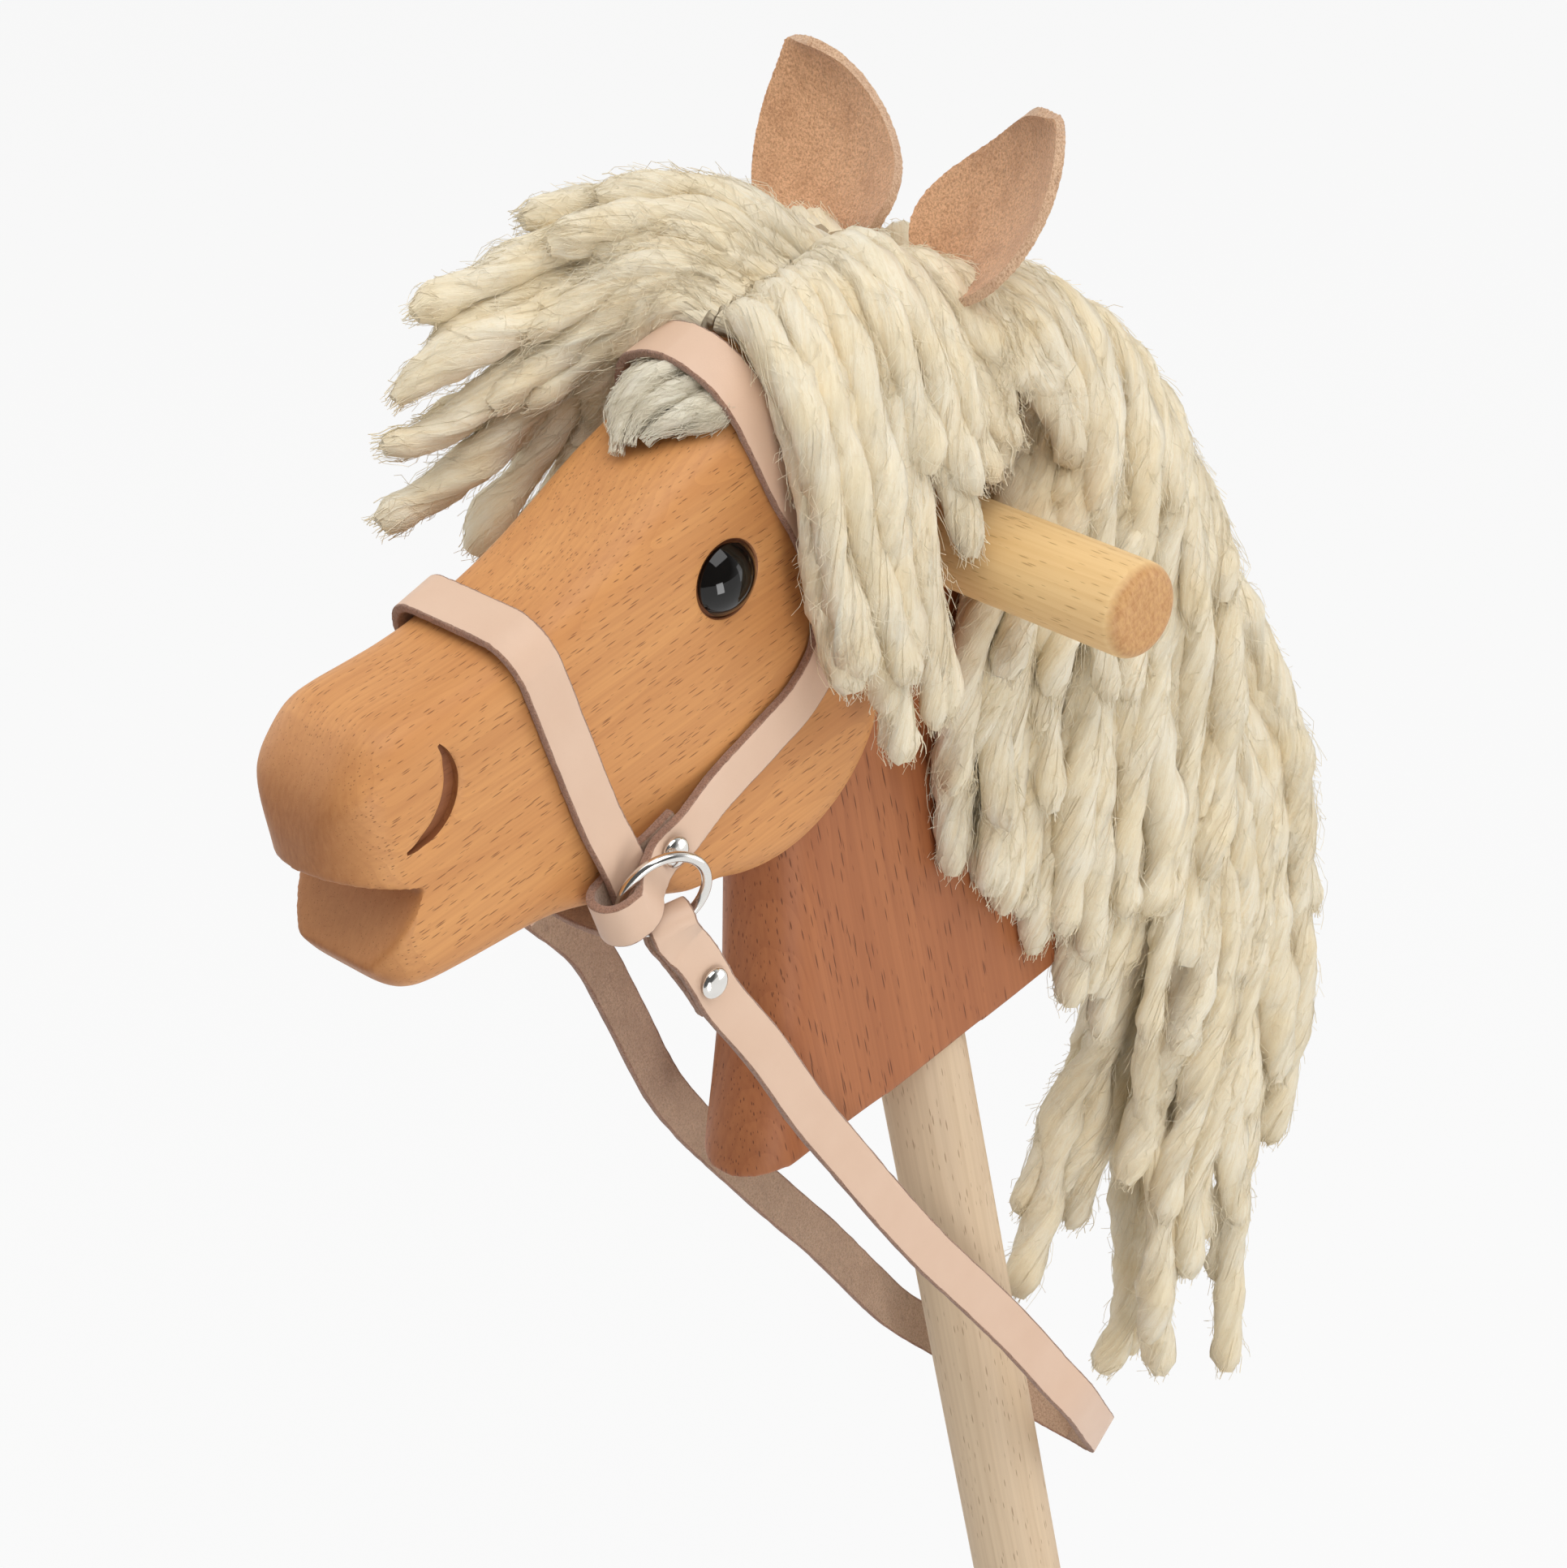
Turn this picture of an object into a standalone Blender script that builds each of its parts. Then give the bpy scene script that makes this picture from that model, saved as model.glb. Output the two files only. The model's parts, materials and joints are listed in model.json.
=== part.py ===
# Hobby horse: a wooden head and neck on a round stick, with grip bar, leather ears, woollen mane,
# leather bridle with two loose rings, and a rein. All sizes are in metres.
# The stick stands along +Z with its foot at the origin. The horse faces -Y and its left side is +X.
import math

import bmesh
import bpy
from mathutils import Matrix, Vector

GAP = 0.0003                 # air left between pieces that touch

# Stick
STICK_EXPOSED = 0.6251       # foot to the neck's underside, on the stick's axis
STICK_D = 0.025
FOOT_CHAMFER = 0.002
TENON_D = 0.016
TENON_LENGTH = 0.060

# The outlines of neck and head are drawn from a datum on the stick's axis, below the neck's underside
UNDERSIDE_RISE = 0.0251
UNDERSIDE_TILT = -0.029      # rise per metre towards the nape

# Neck plank, points (y, z) from the datum
NECK_THICKNESS = 0.028
NECK_FRONT = [(-0.0745, 0.0272), (-0.0663, 0.0476), (-0.0590, 0.0669), (-0.0546, 0.0800),
              (-0.0505, 0.0957), (-0.0470, 0.1100), (-0.0435, 0.1300)]
NECK_TENON_TOP = 0.212       # height of the neck's top inside the head
NECK_TENON_FRONT = -0.036
NECK_TENON_REAR = 0.0295     # from here back the neck rises to the crest
CREST = [(-0.013, 0.2470), (0.005, 0.2473), (0.022, 0.2460), (0.034, 0.2395), (0.046, 0.2288),
         (0.062, 0.2130), (0.084, 0.1790), (0.098, 0.1400), (0.097, 0.1000), (0.091, 0.0600),
         (0.084, 0.0227)]

# Head block
HEAD_THICKNESS = 0.040
HEAD_ROUND = 0.010           # rounding of its long edges
MUZZLE_ROUND = 0.021         # rounding of the nose, seen from above
FOREHEAD = [(-0.0290, 0.2440), (-0.0444, 0.2387), (-0.0572, 0.2358), (-0.0745, 0.2300),
            (-0.0914, 0.2252), (-0.1152, 0.2218), (-0.1325, 0.2225), (-0.1480, 0.2235),
            (-0.1565, 0.2195), (-0.1645, 0.2120), (-0.1690, 0.2020), (-0.1702, 0.1900)]
CHIN = [(-0.1682, 0.1750), (-0.1662, 0.1645), (-0.1608, 0.1565), (-0.1515, 0.1532),
        (-0.1330, 0.1503), (-0.1176, 0.1477), (-0.1033, 0.1418), (-0.0890, 0.1340),
        (-0.0760, 0.1268)]
CHEEK_CENTRE = (-0.043, 0.163)
CHEEK_R = 0.045
CHEEK_START = -121           # degrees, at the throat
CHEEK_END = 8                # degrees, at the back
POLL_END = 0.0235            # y where the head leaves the crest
POLL_CENTRE = (0.0195, 0.2338)
POLL_R = 0.0120
HEAD_BACK = [(0.0310, 0.2180), (0.0190, 0.2040), (0.0080, 0.1880)]
MOUTH_CORNER = (-0.1505, 0.1825)
MOUTH_DEPTH = 0.040
MOUTH_UPPER = 26             # degrees below the horizontal, looking forward
MOUTH_LOWER = 46
NOSTRIL = [(-0.1375, 0.2140), (-0.1358, 0.2090), (-0.1360, 0.2035), (-0.1385, 0.1985),
           (-0.1425, 0.1950), (-0.1475, 0.1934), (-0.1530, 0.1937)]
NOSTRIL_WIDTH = 0.0032
NOSTRIL_DEPTH = 0.003

# Grip bar, across the neck
GRIP_D = 0.0242
GRIP_LENGTH = 0.163
GRIP_Y = 0.0248
GRIP_Z = 0.1735
GRIP_ROUND = 0.004

# Eyes
EYE_D = 0.018
EYE_RISE = 0.0045
EYE_Y = -0.048
EYE_Z = 0.205
EYE_STEM_D = 0.005
EYE_STEM = 0.008
EYE_SOCKET_DEPTH = 0.0015

# Straps
STRAP_WIDTH = 0.012
STRAP_THICKNESS = 0.0023

# Bit rings: centre and axis of the left one, the right one is its mirror image
RING_R = 0.0112              # to the middle of the wire
RING_WIRE_D = 0.0026
RING_CENTRE = (0.0316, -0.0950, 0.1480)
RING_AXIS = (0.93, -0.33, -0.17)

# Noseband: a flat loop in a plane that leans back
NOSEBAND_Y = -0.1080         # at the height NOSEBAND_Z
NOSEBAND_Z = 0.2200
NOSEBAND_LEAN = 0.138
NOSEBAND_LOOP = [(0.0000, 0.2257), (0.0060, 0.2257), (0.0112, 0.2256), (0.0150, 0.2251),
                 (0.0187, 0.2225), (0.0209, 0.2184), (0.0216, 0.2130), (0.0216, 0.1900), (0.0220, 0.1700),
                 (0.0238, 0.1600), (0.0245, 0.1520), (0.0243, 0.1441), (0.0223, 0.1403),
                 (0.0195, 0.1366), (0.0140, 0.1334), (0.0070, 0.1317), (0.0000, 0.1311)]

CHEEK_RIVET_Y = -0.0861
CHEEK_RIVET_Z = 0.1530
CHEEK_OUTER_X = 0.0257       # middle of the outer layer at the cheek rivet
CHEEK_INNER_X = 0.0226       # and of the inner one

# Headpiece: middle line of the left half from the forehead to its end inside the fold
HEADPIECE = [(0.0000, -0.0318, 0.2548), (0.0070, -0.0318, 0.2536), (0.0140, -0.0317, 0.2499),
             (0.0190, -0.0312, 0.2434), (0.0213, -0.0300, 0.2347), (0.0217, -0.0265, 0.2200),
             (0.0216, -0.0215, 0.2040), (0.0216, -0.0190, 0.1880), (0.0216, -0.0235, 0.1720),
             (0.0216, -0.0340, 0.1635), (0.0216, -0.0460, 0.1598), (0.0217, -0.0600, 0.1565),
             (0.0224, -0.0680, 0.1550), (0.0244, -0.0760, 0.1541), (0.0255, -0.0815, 0.1535),
             (CHEEK_OUTER_X, CHEEK_RIVET_Y, CHEEK_RIVET_Z), (0.0260, -0.0895, 0.1523),
             (0.0275, -0.0930, 0.1515), (0.0296, -0.0968, 0.1506), (0.0320, -0.1000, 0.1493),
             (0.0330, -0.1025, 0.1486)]
HEADPIECE_FOLD = (0.0273, -0.1050, 0.1485)   # middle of the fold round noseband and ring
HEADPIECE_FOLD_R = 0.0056
HEADPIECE_INNER = [(0.0217, -0.1000, 0.1498), (0.0217, -0.0928, 0.1514), (0.0223, -0.0900, 0.1521),
                   (CHEEK_INNER_X, CHEEK_RIVET_Y, CHEEK_RIVET_Z), (CHEEK_INNER_X, -0.0800, 0.1543)]

# Rein: middle line of each side from behind the stick up to its end inside the fold
REIN_END = [(0.0000, 0.0330, -0.1510), (0.0090, 0.0305, -0.1475), (0.0180, 0.0250, -0.1385),
            (0.0265, 0.0150, -0.1205)]
REIN_LEFT = [(0.0328, 0.0050, -0.1000), (0.0332, -0.0020, -0.0850), (0.0335, -0.0130, -0.0600),
             (0.0335, -0.0250, -0.0350), (0.0335, -0.0375, -0.0100), (0.0335, -0.0482, 0.0140),
             (0.0335, -0.0590, 0.0400), (0.0335, -0.0680, 0.0620), (0.0335, -0.0770, 0.0880)]
REIN_RIGHT = [(-0.0328, 0.0020, -0.1000), (-0.0332, -0.0070, -0.0820), (-0.0335, -0.0195, -0.0550),
              (-0.0335, -0.0325, -0.0300), (-0.0335, -0.0470, -0.0010), (-0.0335, -0.0562, 0.0190),
              (-0.0335, -0.0620, 0.0360), (-0.0335, -0.0675, 0.0620), (-0.0335, -0.0740, 0.0880)]
REIN_RIVET_Y = -0.0890
REIN_RIVET_Z = 0.1185
REIN_OUTER_X = 0.0334        # middle of the outer layer at the rein rivet
REIN_INNER_X = 0.0305        # and of the inner one
REIN_OUTER = [(REIN_OUTER_X, -0.0862, 0.1100), (REIN_OUTER_X, -0.0887, REIN_RIVET_Z),
              (0.0331, -0.0910, 0.1265), (0.0328, -0.0935, 0.1325)]
REIN_FOLD_R = 0.0035
REIN_FOLD_RISE = 0.0010      # of its middle above the wire
REIN_INNER = [(0.0268, -0.0930, 0.1330), (0.0287, -0.0910, 0.1265), (0.0305, -0.0887, REIN_RIVET_Z),
              (0.0308, -0.0862, 0.1100)]

# Rivets
RIVET_CAP_D = 0.008
RIVET_CAP_RISE = 0.0016
RIVET_CAP_BORE = 0.0009      # depth of its hollow over the post's end
RIVET_AIR = 0.0006           # between a rivet and the straps
RIVET_POST_D = 0.003
RIVET_BACK_D = 0.006
RIVET_BACK_THICKNESS = 0.0005

# Ears: edge points of the left blade, from base to tip, and how far its middle lies behind them
EAR_INNER = [(0.0075, 0.0370, 0.2450), (0.0035, 0.0400, 0.2500), (0.0045, 0.0500, 0.2570),
             (0.0170, 0.0590, 0.2655), (0.0290, 0.0600, 0.2765)]
EAR_OUTER = [(0.0220, 0.0300, 0.2430), (0.0360, 0.0290, 0.2500), (0.0438, 0.0378, 0.2575),
             (0.0480, 0.0462, 0.2660), (0.0465, 0.0525, 0.2745)]
EAR_TIP = (0.0406, 0.0560, 0.2812)
EAR_CUP = [0.0060, 0.0090, 0.0080, 0.0050, 0.0020]
EAR_THICKNESS = 0.0024
EAR_TAB_X = 0.0105           # middle of the fixing tab
EAR_TAB_Y = 0.0400           # its upper edge on the crest
EAR_TAB_WIDTH = 0.007
EAR_TAB_LENGTH = 0.013
EAR_SCREW_D = 0.0024
EAR_SCREW_HEAD_D = 0.005
EAR_SCREW_LENGTH = 0.012

# Mane: backing strip, tacks and tufts
BACKING_WIDTH = 0.012
BACKING_THICKNESS = 0.0016
TACK_HEAD_D = 0.005
TACK_HEAD_RISE = 0.0012
TACK_LENGTH = 0.010
TACK_PIN_D = 0.0016
TACK_COUNT = 5

# The brow's bundle: y, z, half width, half height and how far it lies to the left, front to rear
BROW = [(-0.0160, 0.2500, 0.0035, 0.0016, 0.001), (-0.0220, 0.2492, 0.0065, 0.0028, 0.002),
        (-0.0320, 0.2478, 0.0100, 0.0037, 0.0035), (-0.0420, 0.2450, 0.0115, 0.0046, 0.004),
        (-0.0500, 0.2420, 0.0095, 0.0040, 0.004), (-0.0550, 0.2395, 0.0050, 0.0020, 0.004)]
TUFT_GAP = 0.0016            # air between neighbouring tufts
TUFT_ROOT = 0.0034           # half thickness at the root
TUFT_BODY = 0.0048           # and below it
TUFT_RINGS = 10
TUFT_SECTION = [(-1, 0.4), (-0.6, 1), (0, 1.1), (0.6, 1), (1, 0.4)]   # share of half width, height

# The mane hangs along guide lines, one list for each line from its root on the crest to its tip,
# in order from the front of the panel to its rear. Each pair of neighbouring lines bounds a tuft.
FORELOCK_NEAR = [
    [(0.0025, -0.0120, 0.2530), (0.0130, -0.0170, 0.2560), (0.0265, -0.0255, 0.2475),
     (0.0325, -0.0330, 0.2210), (0.0350, -0.0365, 0.1960), (0.0360, -0.0370, 0.1680)],
    [(0.0025, -0.0050, 0.2540), (0.0130, -0.0080, 0.2580), (0.0265, -0.0130, 0.2480),
     (0.0330, -0.0200, 0.2220), (0.0360, -0.0240, 0.1900), (0.0365, -0.0270, 0.1440)],
    [(0.0025, 0.0030, 0.2545), (0.0130, 0.0030, 0.2585), (0.0265, 0.0010, 0.2480),
     (0.0330, -0.0040, 0.2220), (0.0360, -0.0080, 0.1900), (0.0365, -0.0110, 0.1480)],
    [(0.0025, 0.0100, 0.2545), (0.0130, 0.0110, 0.2580), (0.0255, 0.0100, 0.2475),
     (0.0325, 0.0070, 0.2220), (0.0355, 0.0060, 0.1970), (0.0360, 0.0040, 0.1720)],
    [(0.0025, 0.0165, 0.2535), (0.0130, 0.0170, 0.2560), (0.0240, 0.0175, 0.2460),
     (0.0310, 0.0180, 0.2240), (0.0335, 0.0185, 0.2070), (0.0340, 0.0190, 0.1920)],
    [(0.0025, 0.0225, 0.2525), (0.0125, 0.0225, 0.2535), (0.0225, 0.0235, 0.2450),
     (0.0285, 0.0280, 0.2290), (0.0305, 0.0380, 0.2080), (0.0305, 0.0480, 0.1920)]]
FORELOCK_FAR = [
    [(-0.0025, -0.0120, 0.2530), (-0.0145, -0.0182, 0.2565), (-0.0312, -0.0298, 0.2355),
     (-0.0340, -0.0480, 0.2190), (-0.0400, -0.0620, 0.2060), (-0.0460, -0.0670, 0.1970)],
    [(-0.0025, -0.0060, 0.2540), (-0.0140, -0.0180, 0.2600), (-0.0270, -0.0380, 0.2510),
     (-0.0350, -0.0560, 0.2370), (-0.0420, -0.0700, 0.2230), (-0.0470, -0.0760, 0.2130)],
    [(-0.0025, 0.0000, 0.2545), (-0.0150, -0.0140, 0.2640), (-0.0270, -0.0400, 0.2630),
     (-0.0360, -0.0640, 0.2540), (-0.0430, -0.0820, 0.2420), (-0.0470, -0.0910, 0.2330)],
    [(-0.0025, 0.0070, 0.2545), (-0.0160, -0.0110, 0.2670), (-0.0280, -0.0400, 0.2710),
     (-0.0360, -0.0640, 0.2690), (-0.0430, -0.0800, 0.2610), (-0.0460, -0.0870, 0.2530)],
    [(-0.0025, 0.0140, 0.2540), (-0.0180, -0.0020, 0.2680), (-0.0300, -0.0300, 0.2750),
     (-0.0380, -0.0520, 0.2770), (-0.0440, -0.0660, 0.2740), (-0.0470, -0.0720, 0.2700)],
    [(-0.0025, 0.0210, 0.2530), (-0.0180, 0.0130, 0.2680), (-0.0300, -0.0080, 0.2760),
     (-0.0380, -0.0260, 0.2800), (-0.0440, -0.0400, 0.2810), (-0.0470, -0.0480, 0.2800)]]
MANE = [
    [(0.0025, 0.0588, 0.2252), (0.0120, 0.0620, 0.2280), (0.0215, 0.0600, 0.2140), (0.0240, 0.0510, 0.1920),
     (0.0240, 0.0420, 0.1740), (0.0235, 0.0340, 0.1570), (0.0230, 0.0240, 0.1370), (0.0220, 0.0120, 0.1070),
     (0.0210, 0.0050, 0.0720)],
    [(0.0025, 0.0670, 0.2170), (0.0120, 0.0720, 0.2190), (0.0215, 0.0710, 0.2050), (0.0240, 0.0640, 0.1800),
     (0.0235, 0.0500, 0.1400), (0.0225, 0.0360, 0.1000), (0.0215, 0.0240, 0.0500)],
    [(0.0025, 0.0897, 0.1818), (0.0110, 0.0970, 0.1830), (0.0195, 0.0980, 0.1690), (0.0220, 0.0890, 0.1380),
     (0.0220, 0.0720, 0.0980), (0.0215, 0.0540, 0.0500), (0.0210, 0.0380, 0.0080)],
    [(0.0032, 0.1043, 0.1410), (0.0110, 0.1115, 0.1435), (0.0175, 0.1165, 0.1300),
     (0.0205, 0.1110, 0.0950), (0.0205, 0.0970, 0.0550), (0.0200, 0.0800, 0.0200), (0.0195, 0.0640, -0.0120)]]
TAIL = [
    [(0.0042, 0.0880, 0.0220), (0.0060, 0.0970, 0.0200), (0.0080, 0.1010, 0.0050),
     (0.0090, 0.0970, -0.0150), (0.0090, 0.0800, -0.0420), (0.0090, 0.0550, -0.0680), (0.0090, 0.0300, -0.0900)],
    [(0.0042, 0.0934, 0.0515), (0.0065, 0.1040, 0.0510), (0.0085, 0.1130, 0.0380), (0.0095, 0.1160, 0.0100),
     (0.0095, 0.1080, -0.0300), (0.0095, 0.0880, -0.0850), (0.0095, 0.0640, -0.1280)],
    [(0.0042, 0.0990, 0.0837), (0.0065, 0.1110, 0.0840), (0.0085, 0.1240, 0.0720), (0.0095, 0.1320, 0.0400),
     (0.0095, 0.1300, -0.0100), (0.0095, 0.1180, -0.0750), (0.0095, 0.0980, -0.1320)],
    [(0.0042, 0.1015, 0.1185), (0.0065, 0.1130, 0.1210), (0.0085, 0.1250, 0.1120), (0.0095, 0.1370, 0.0800),
     (0.0095, 0.1470, 0.0350), (0.0095, 0.1450, -0.0250), (0.0095, 0.1350, -0.0980)]]


def smooth(points, steps=4):
    """Points along a smooth open curve through the given ones."""
    points = [Vector(p) for p in points]
    path = []
    for i in range(len(points) - 1):
        before = points[max(i - 1, 0)]
        start, end = points[i], points[i + 1]
        after = points[min(i + 2, len(points) - 1)]
        for k in range(steps):
            t = k / steps
            path.append(0.5 * (2 * start + (end - before) * t
                               + (2 * before - 5 * start + 4 * end - after) * t * t
                               + (3 * start - before - 3 * end + after) * t ** 3))
    return path + [points[-1]]


def along(points, share):
    """The point at a share of the length of a polyline."""
    lengths = [(b - a).length for a, b in zip(points, points[1:])]
    left = share * sum(lengths)
    for a, b, length in zip(points, points[1:], lengths):
        if left <= length:
            return a.lerp(b, left / length)
        left -= length
    return points[-1].copy()


def fold(centre, radius, out, run, steps=8):
    """A half turn from the outer layer to the inner one, round the far side of centre."""
    out, run, centre = Vector(out).normalized(), Vector(run).normalized(), Vector(centre)
    angles = [math.pi * i / steps for i in range(steps + 1)]
    return [centre + (out * math.cos(angle) + run * math.sin(angle)) * radius for angle in angles]


def link(obj, parent=None):
    horse.objects.link(obj)
    if parent:
        obj.parent = parent
    return obj


def mesh_object(name, bm):
    if all(e.is_manifold for e in bm.edges) and bm.calc_volume(signed=True) < 0:
        bmesh.ops.reverse_faces(bm, faces=bm.faces)
    mesh = bpy.data.meshes.new(name)
    bm.to_mesh(mesh)
    bm.free()
    return bpy.data.objects.new(name, mesh)


def finish(obj, material, parent):
    """Material, smooth shading and a place in the collection."""
    obj.data.materials.append(material)
    obj.data.shade_smooth()
    obj.data.set_sharp_from_angle(angle=math.radians(35))
    link(obj, parent)
    offset = parent.location if parent in moving_frames else Vector()
    obj.location = obj.location - offset
    return obj


def plank(name, outline, thickness, across=0.0):
    """A closed outline (y, z) as a solid plank, its thickness along X and its middle at across."""
    curve = bpy.data.curves.new(name, "CURVE")
    curve.dimensions = "2D"
    curve.fill_mode = "BOTH"
    curve.extrude = thickness / 2
    spline = curve.splines.new("POLY")
    spline.points.add(len(outline) - 1)
    for point, (y, z) in zip(spline.points, outline):
        point.co = (y, z, 0, 1)
    spline.use_cyclic_u = True
    flat = bpy.data.objects.new(name, curve)
    bpy.context.scene.collection.objects.link(flat)
    bpy.context.view_layer.update()
    mesh = bpy.data.meshes.new_from_object(flat.evaluated_get(bpy.context.evaluated_depsgraph_get()))
    bpy.data.objects.remove(flat)
    bpy.data.curves.remove(curve)
    bm = bmesh.new()
    bm.from_mesh(mesh)
    bpy.data.meshes.remove(mesh)
    bmesh.ops.remove_doubles(bm, verts=bm.verts, dist=0.00001)
    bmesh.ops.dissolve_limit(bm, angle_limit=math.radians(1), verts=bm.verts, edges=bm.edges)
    side_view = Matrix(((0, 0, 1, across), (1, 0, 0, 0), (0, 1, 0, 0), (0, 0, 0, 1)))
    bm.transform(side_view)
    bmesh.ops.recalc_face_normals(bm, faces=bm.faces)
    return mesh_object(name, bm)


def turned(name, profile, steps=24):
    """A solid turned about its local Z from a profile (radius, height), top to bottom."""
    mesh = bpy.data.meshes.new(name)
    points = [(r, 0, z) for r, z in profile]
    mesh.from_pydata(points, [(i, i + 1) for i in range(len(points) - 1)], [])
    obj = bpy.data.objects.new(name, mesh)
    screw = obj.modifiers.new("Turn", "SCREW")
    screw.steps = steps
    screw.render_steps = steps
    screw.use_merge_vertices = True
    screw.merge_threshold = 0.00001
    return obj


def point_along(obj, origin, direction, roll=0.0):
    """Puts an object's own Z along a direction."""
    turn = Vector(direction).to_track_quat("Z", "Y").to_matrix().to_4x4()
    obj.matrix_local = Matrix.Translation(Vector(origin)) @ turn @ Matrix.Rotation(roll, 4, "Z")
    return obj


def cutter(obj, parent):
    cutters.objects.link(obj)
    obj.parent = parent
    obj.hide_render = True
    obj.display_type = "WIRE"
    return obj


def cut(obj, tool, operation="DIFFERENCE"):
    boolean = obj.modifiers.new(tool.name, "BOOLEAN")
    boolean.object = tool
    boolean.operation = operation
    boolean.solver = "EXACT"


def round_bar(name, radius, length, steps=32):
    """A plain cylinder along its local Z, centred."""
    bm = bmesh.new()
    bmesh.ops.create_cone(bm, cap_ends=True, segments=steps, radius1=radius, radius2=radius, depth=length)
    return mesh_object(name, bm)


def tangents_of(path, closed=False):
    count = len(path)
    if closed:
        return [(path[(i + 1) % count] - path[i - 1]).normalized() for i in range(count)]
    return [(path[min(i + 1, count - 1)] - path[max(i - 1, 0)]).normalized() for i in range(count)]


def widths_of(path, start, flat=None, flat_width=None):
    """Width directions square to the run: in the side view where the strap runs there, and as just
    before where it crosses the horse or folds. A stretch named flat has its own width direction."""
    tangents = tangents_of(path)
    width = Vector(start)
    widths = []
    for tangent in tangents:
        side = Vector((0, -tangent.z, tangent.y))
        if side.length > 0.55:
            if side.dot(width) < 0:
                side = -side
            width = side.normalized()
        widths.append(width)
    if flat:
        sign = 1 if flat_width.dot(widths[flat][0]) > 0 else -1
        widths[flat] = [flat_width * sign] * len(widths[flat])
    for _ in range(3):
        blended = [widths[0]]
        for i in range(1, len(widths) - 1):
            blended.append((widths[i - 1] + 2 * widths[i] + widths[i + 1]).normalized())
        widths = blended + [widths[-1]]
    return [(w - t * w.dot(t)).normalized() for w, t in zip(widths, tangents)]


def strap(name, path, widths, closed=False):
    """A flat strap along a path, with its width direction at each point."""
    bm = bmesh.new()
    half = STRAP_WIDTH / 2
    rails = [[bm.verts.new(p + w * side * half) for p, w in zip(path, widths)] for side in (-1, 1)]
    count = len(path)
    for i in range(count if closed else count - 1):
        j = (i + 1) % count
        bm.faces.new((rails[0][i], rails[0][j], rails[1][j], rails[1][i]))
    obj = mesh_object(name, bm)
    wall = obj.modifiers.new("Thickness", "SOLIDIFY")
    wall.thickness = STRAP_THICKNESS
    wall.offset = 0
    return obj


def tuft_solid(name, rings):
    """A closed solid lofted through rings of as many points each."""
    bm = bmesh.new()
    loops = [[bm.verts.new(p) for p in ring] for ring in rings]
    count = len(rings[0])
    for lower, upper in zip(loops, loops[1:]):
        for i in range(count):
            j = (i + 1) % count
            bm.faces.new((lower[i], lower[j], upper[j], upper[i]))
    bm.faces.new(list(reversed(loops[0])))
    bm.faces.new(loops[-1])
    bmesh.ops.recalc_face_normals(bm, faces=bm.faces)
    return mesh_object(name, bm)


def mirrored(points):
    return [(-p[0], p[1], p[2]) for p in points]


def material(name, colour, roughness, metallic=0.0):
    made = bpy.data.materials.new(name)
    made.use_nodes = True
    shader = made.node_tree.nodes["Principled BSDF"]
    shader.inputs["Base Color"].default_value = (*colour, 1)
    shader.inputs["Roughness"].default_value = roughness
    shader.inputs["Metallic"].default_value = metallic
    made.diffuse_color = (*colour, 1)
    return made


for old in list(bpy.data.objects):
    bpy.data.objects.remove(old)
horse = bpy.data.collections.new("hobby_horse")
cutters = bpy.data.collections.new("cutters")
bpy.context.scene.collection.children.link(horse)
bpy.context.scene.collection.children.link(cutters)

pale_beech = material("pale_beech", (0.78, 0.62, 0.47), 0.55)
red_beech = material("red_beech", (0.66, 0.36, 0.20), 0.45)
head_beech = material("head_beech", (0.72, 0.41, 0.22), 0.45)
grip_beech = material("grip_beech", (0.82, 0.60, 0.33), 0.40)
strap_leather = material("strap_leather", (0.74, 0.52, 0.41), 0.60)
ear_leather = material("ear_leather", (0.66, 0.40, 0.26), 0.85)
eye_black = material("eye_black", (0.01, 0.01, 0.01), 0.08)
nickel = material("nickel", (0.80, 0.80, 0.80), 0.20, 1.0)
steel = material("steel", (0.60, 0.60, 0.60), 0.35, 1.0)
wool = material("wool", (0.88, 0.84, 0.68), 0.95)
backing_cloth = material("backing_cloth", (0.80, 0.76, 0.62), 0.95)

datum = link(bpy.data.objects.new("head_datum", None))
datum.location = (0, 0, STICK_EXPOSED - UNDERSIDE_RISE)
rein_pivot = link(bpy.data.objects.new("rein_pivot", None), datum)
rein_pivot.location = (0, RING_CENTRE[1], RING_CENTRE[2])
ring_axis = Vector(RING_AXIS).normalized()
ring_down = (Vector((0, 0, -1)) - ring_axis * -ring_axis.z).normalized()
ring_front = ring_down.cross(ring_axis)
if ring_front.y > 0:
    ring_front = -ring_front
ring_pivots = {}
for side, sign in (("left", 1), ("right", -1)):
    pivot = link(bpy.data.objects.new(f"bit_ring_{side}_pivot", None), datum)
    held = Vector(RING_CENTRE) + ring_front * RING_R
    pivot.location = (sign * held.x, held.y, held.z)
    ring_pivots[side] = pivot
moving_frames = [rein_pivot, *ring_pivots.values()]


def underside(y):
    return UNDERSIDE_RISE + UNDERSIDE_TILT * y


crest = smooth([(0, y, z) for y, z in CREST], 3)
crest_yz = [(p.y, p.z) for p in crest]


def build_stick():
    top = TENON_LENGTH
    shoulder = -0.0006
    profile = [(0, top), (TENON_D / 2 - FOOT_CHAMFER / 2, top), (TENON_D / 2, top - FOOT_CHAMFER / 2),
               (TENON_D / 2, shoulder), (STICK_D / 2, shoulder),
               (STICK_D / 2, FOOT_CHAMFER - STICK_EXPOSED),
               (STICK_D / 2 - FOOT_CHAMFER, -STICK_EXPOSED), (0, -STICK_EXPOSED)]
    stick = turned("stick", profile, 32)
    stick.location = (0, 0, UNDERSIDE_RISE)
    return finish(stick, pale_beech, datum)


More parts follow.
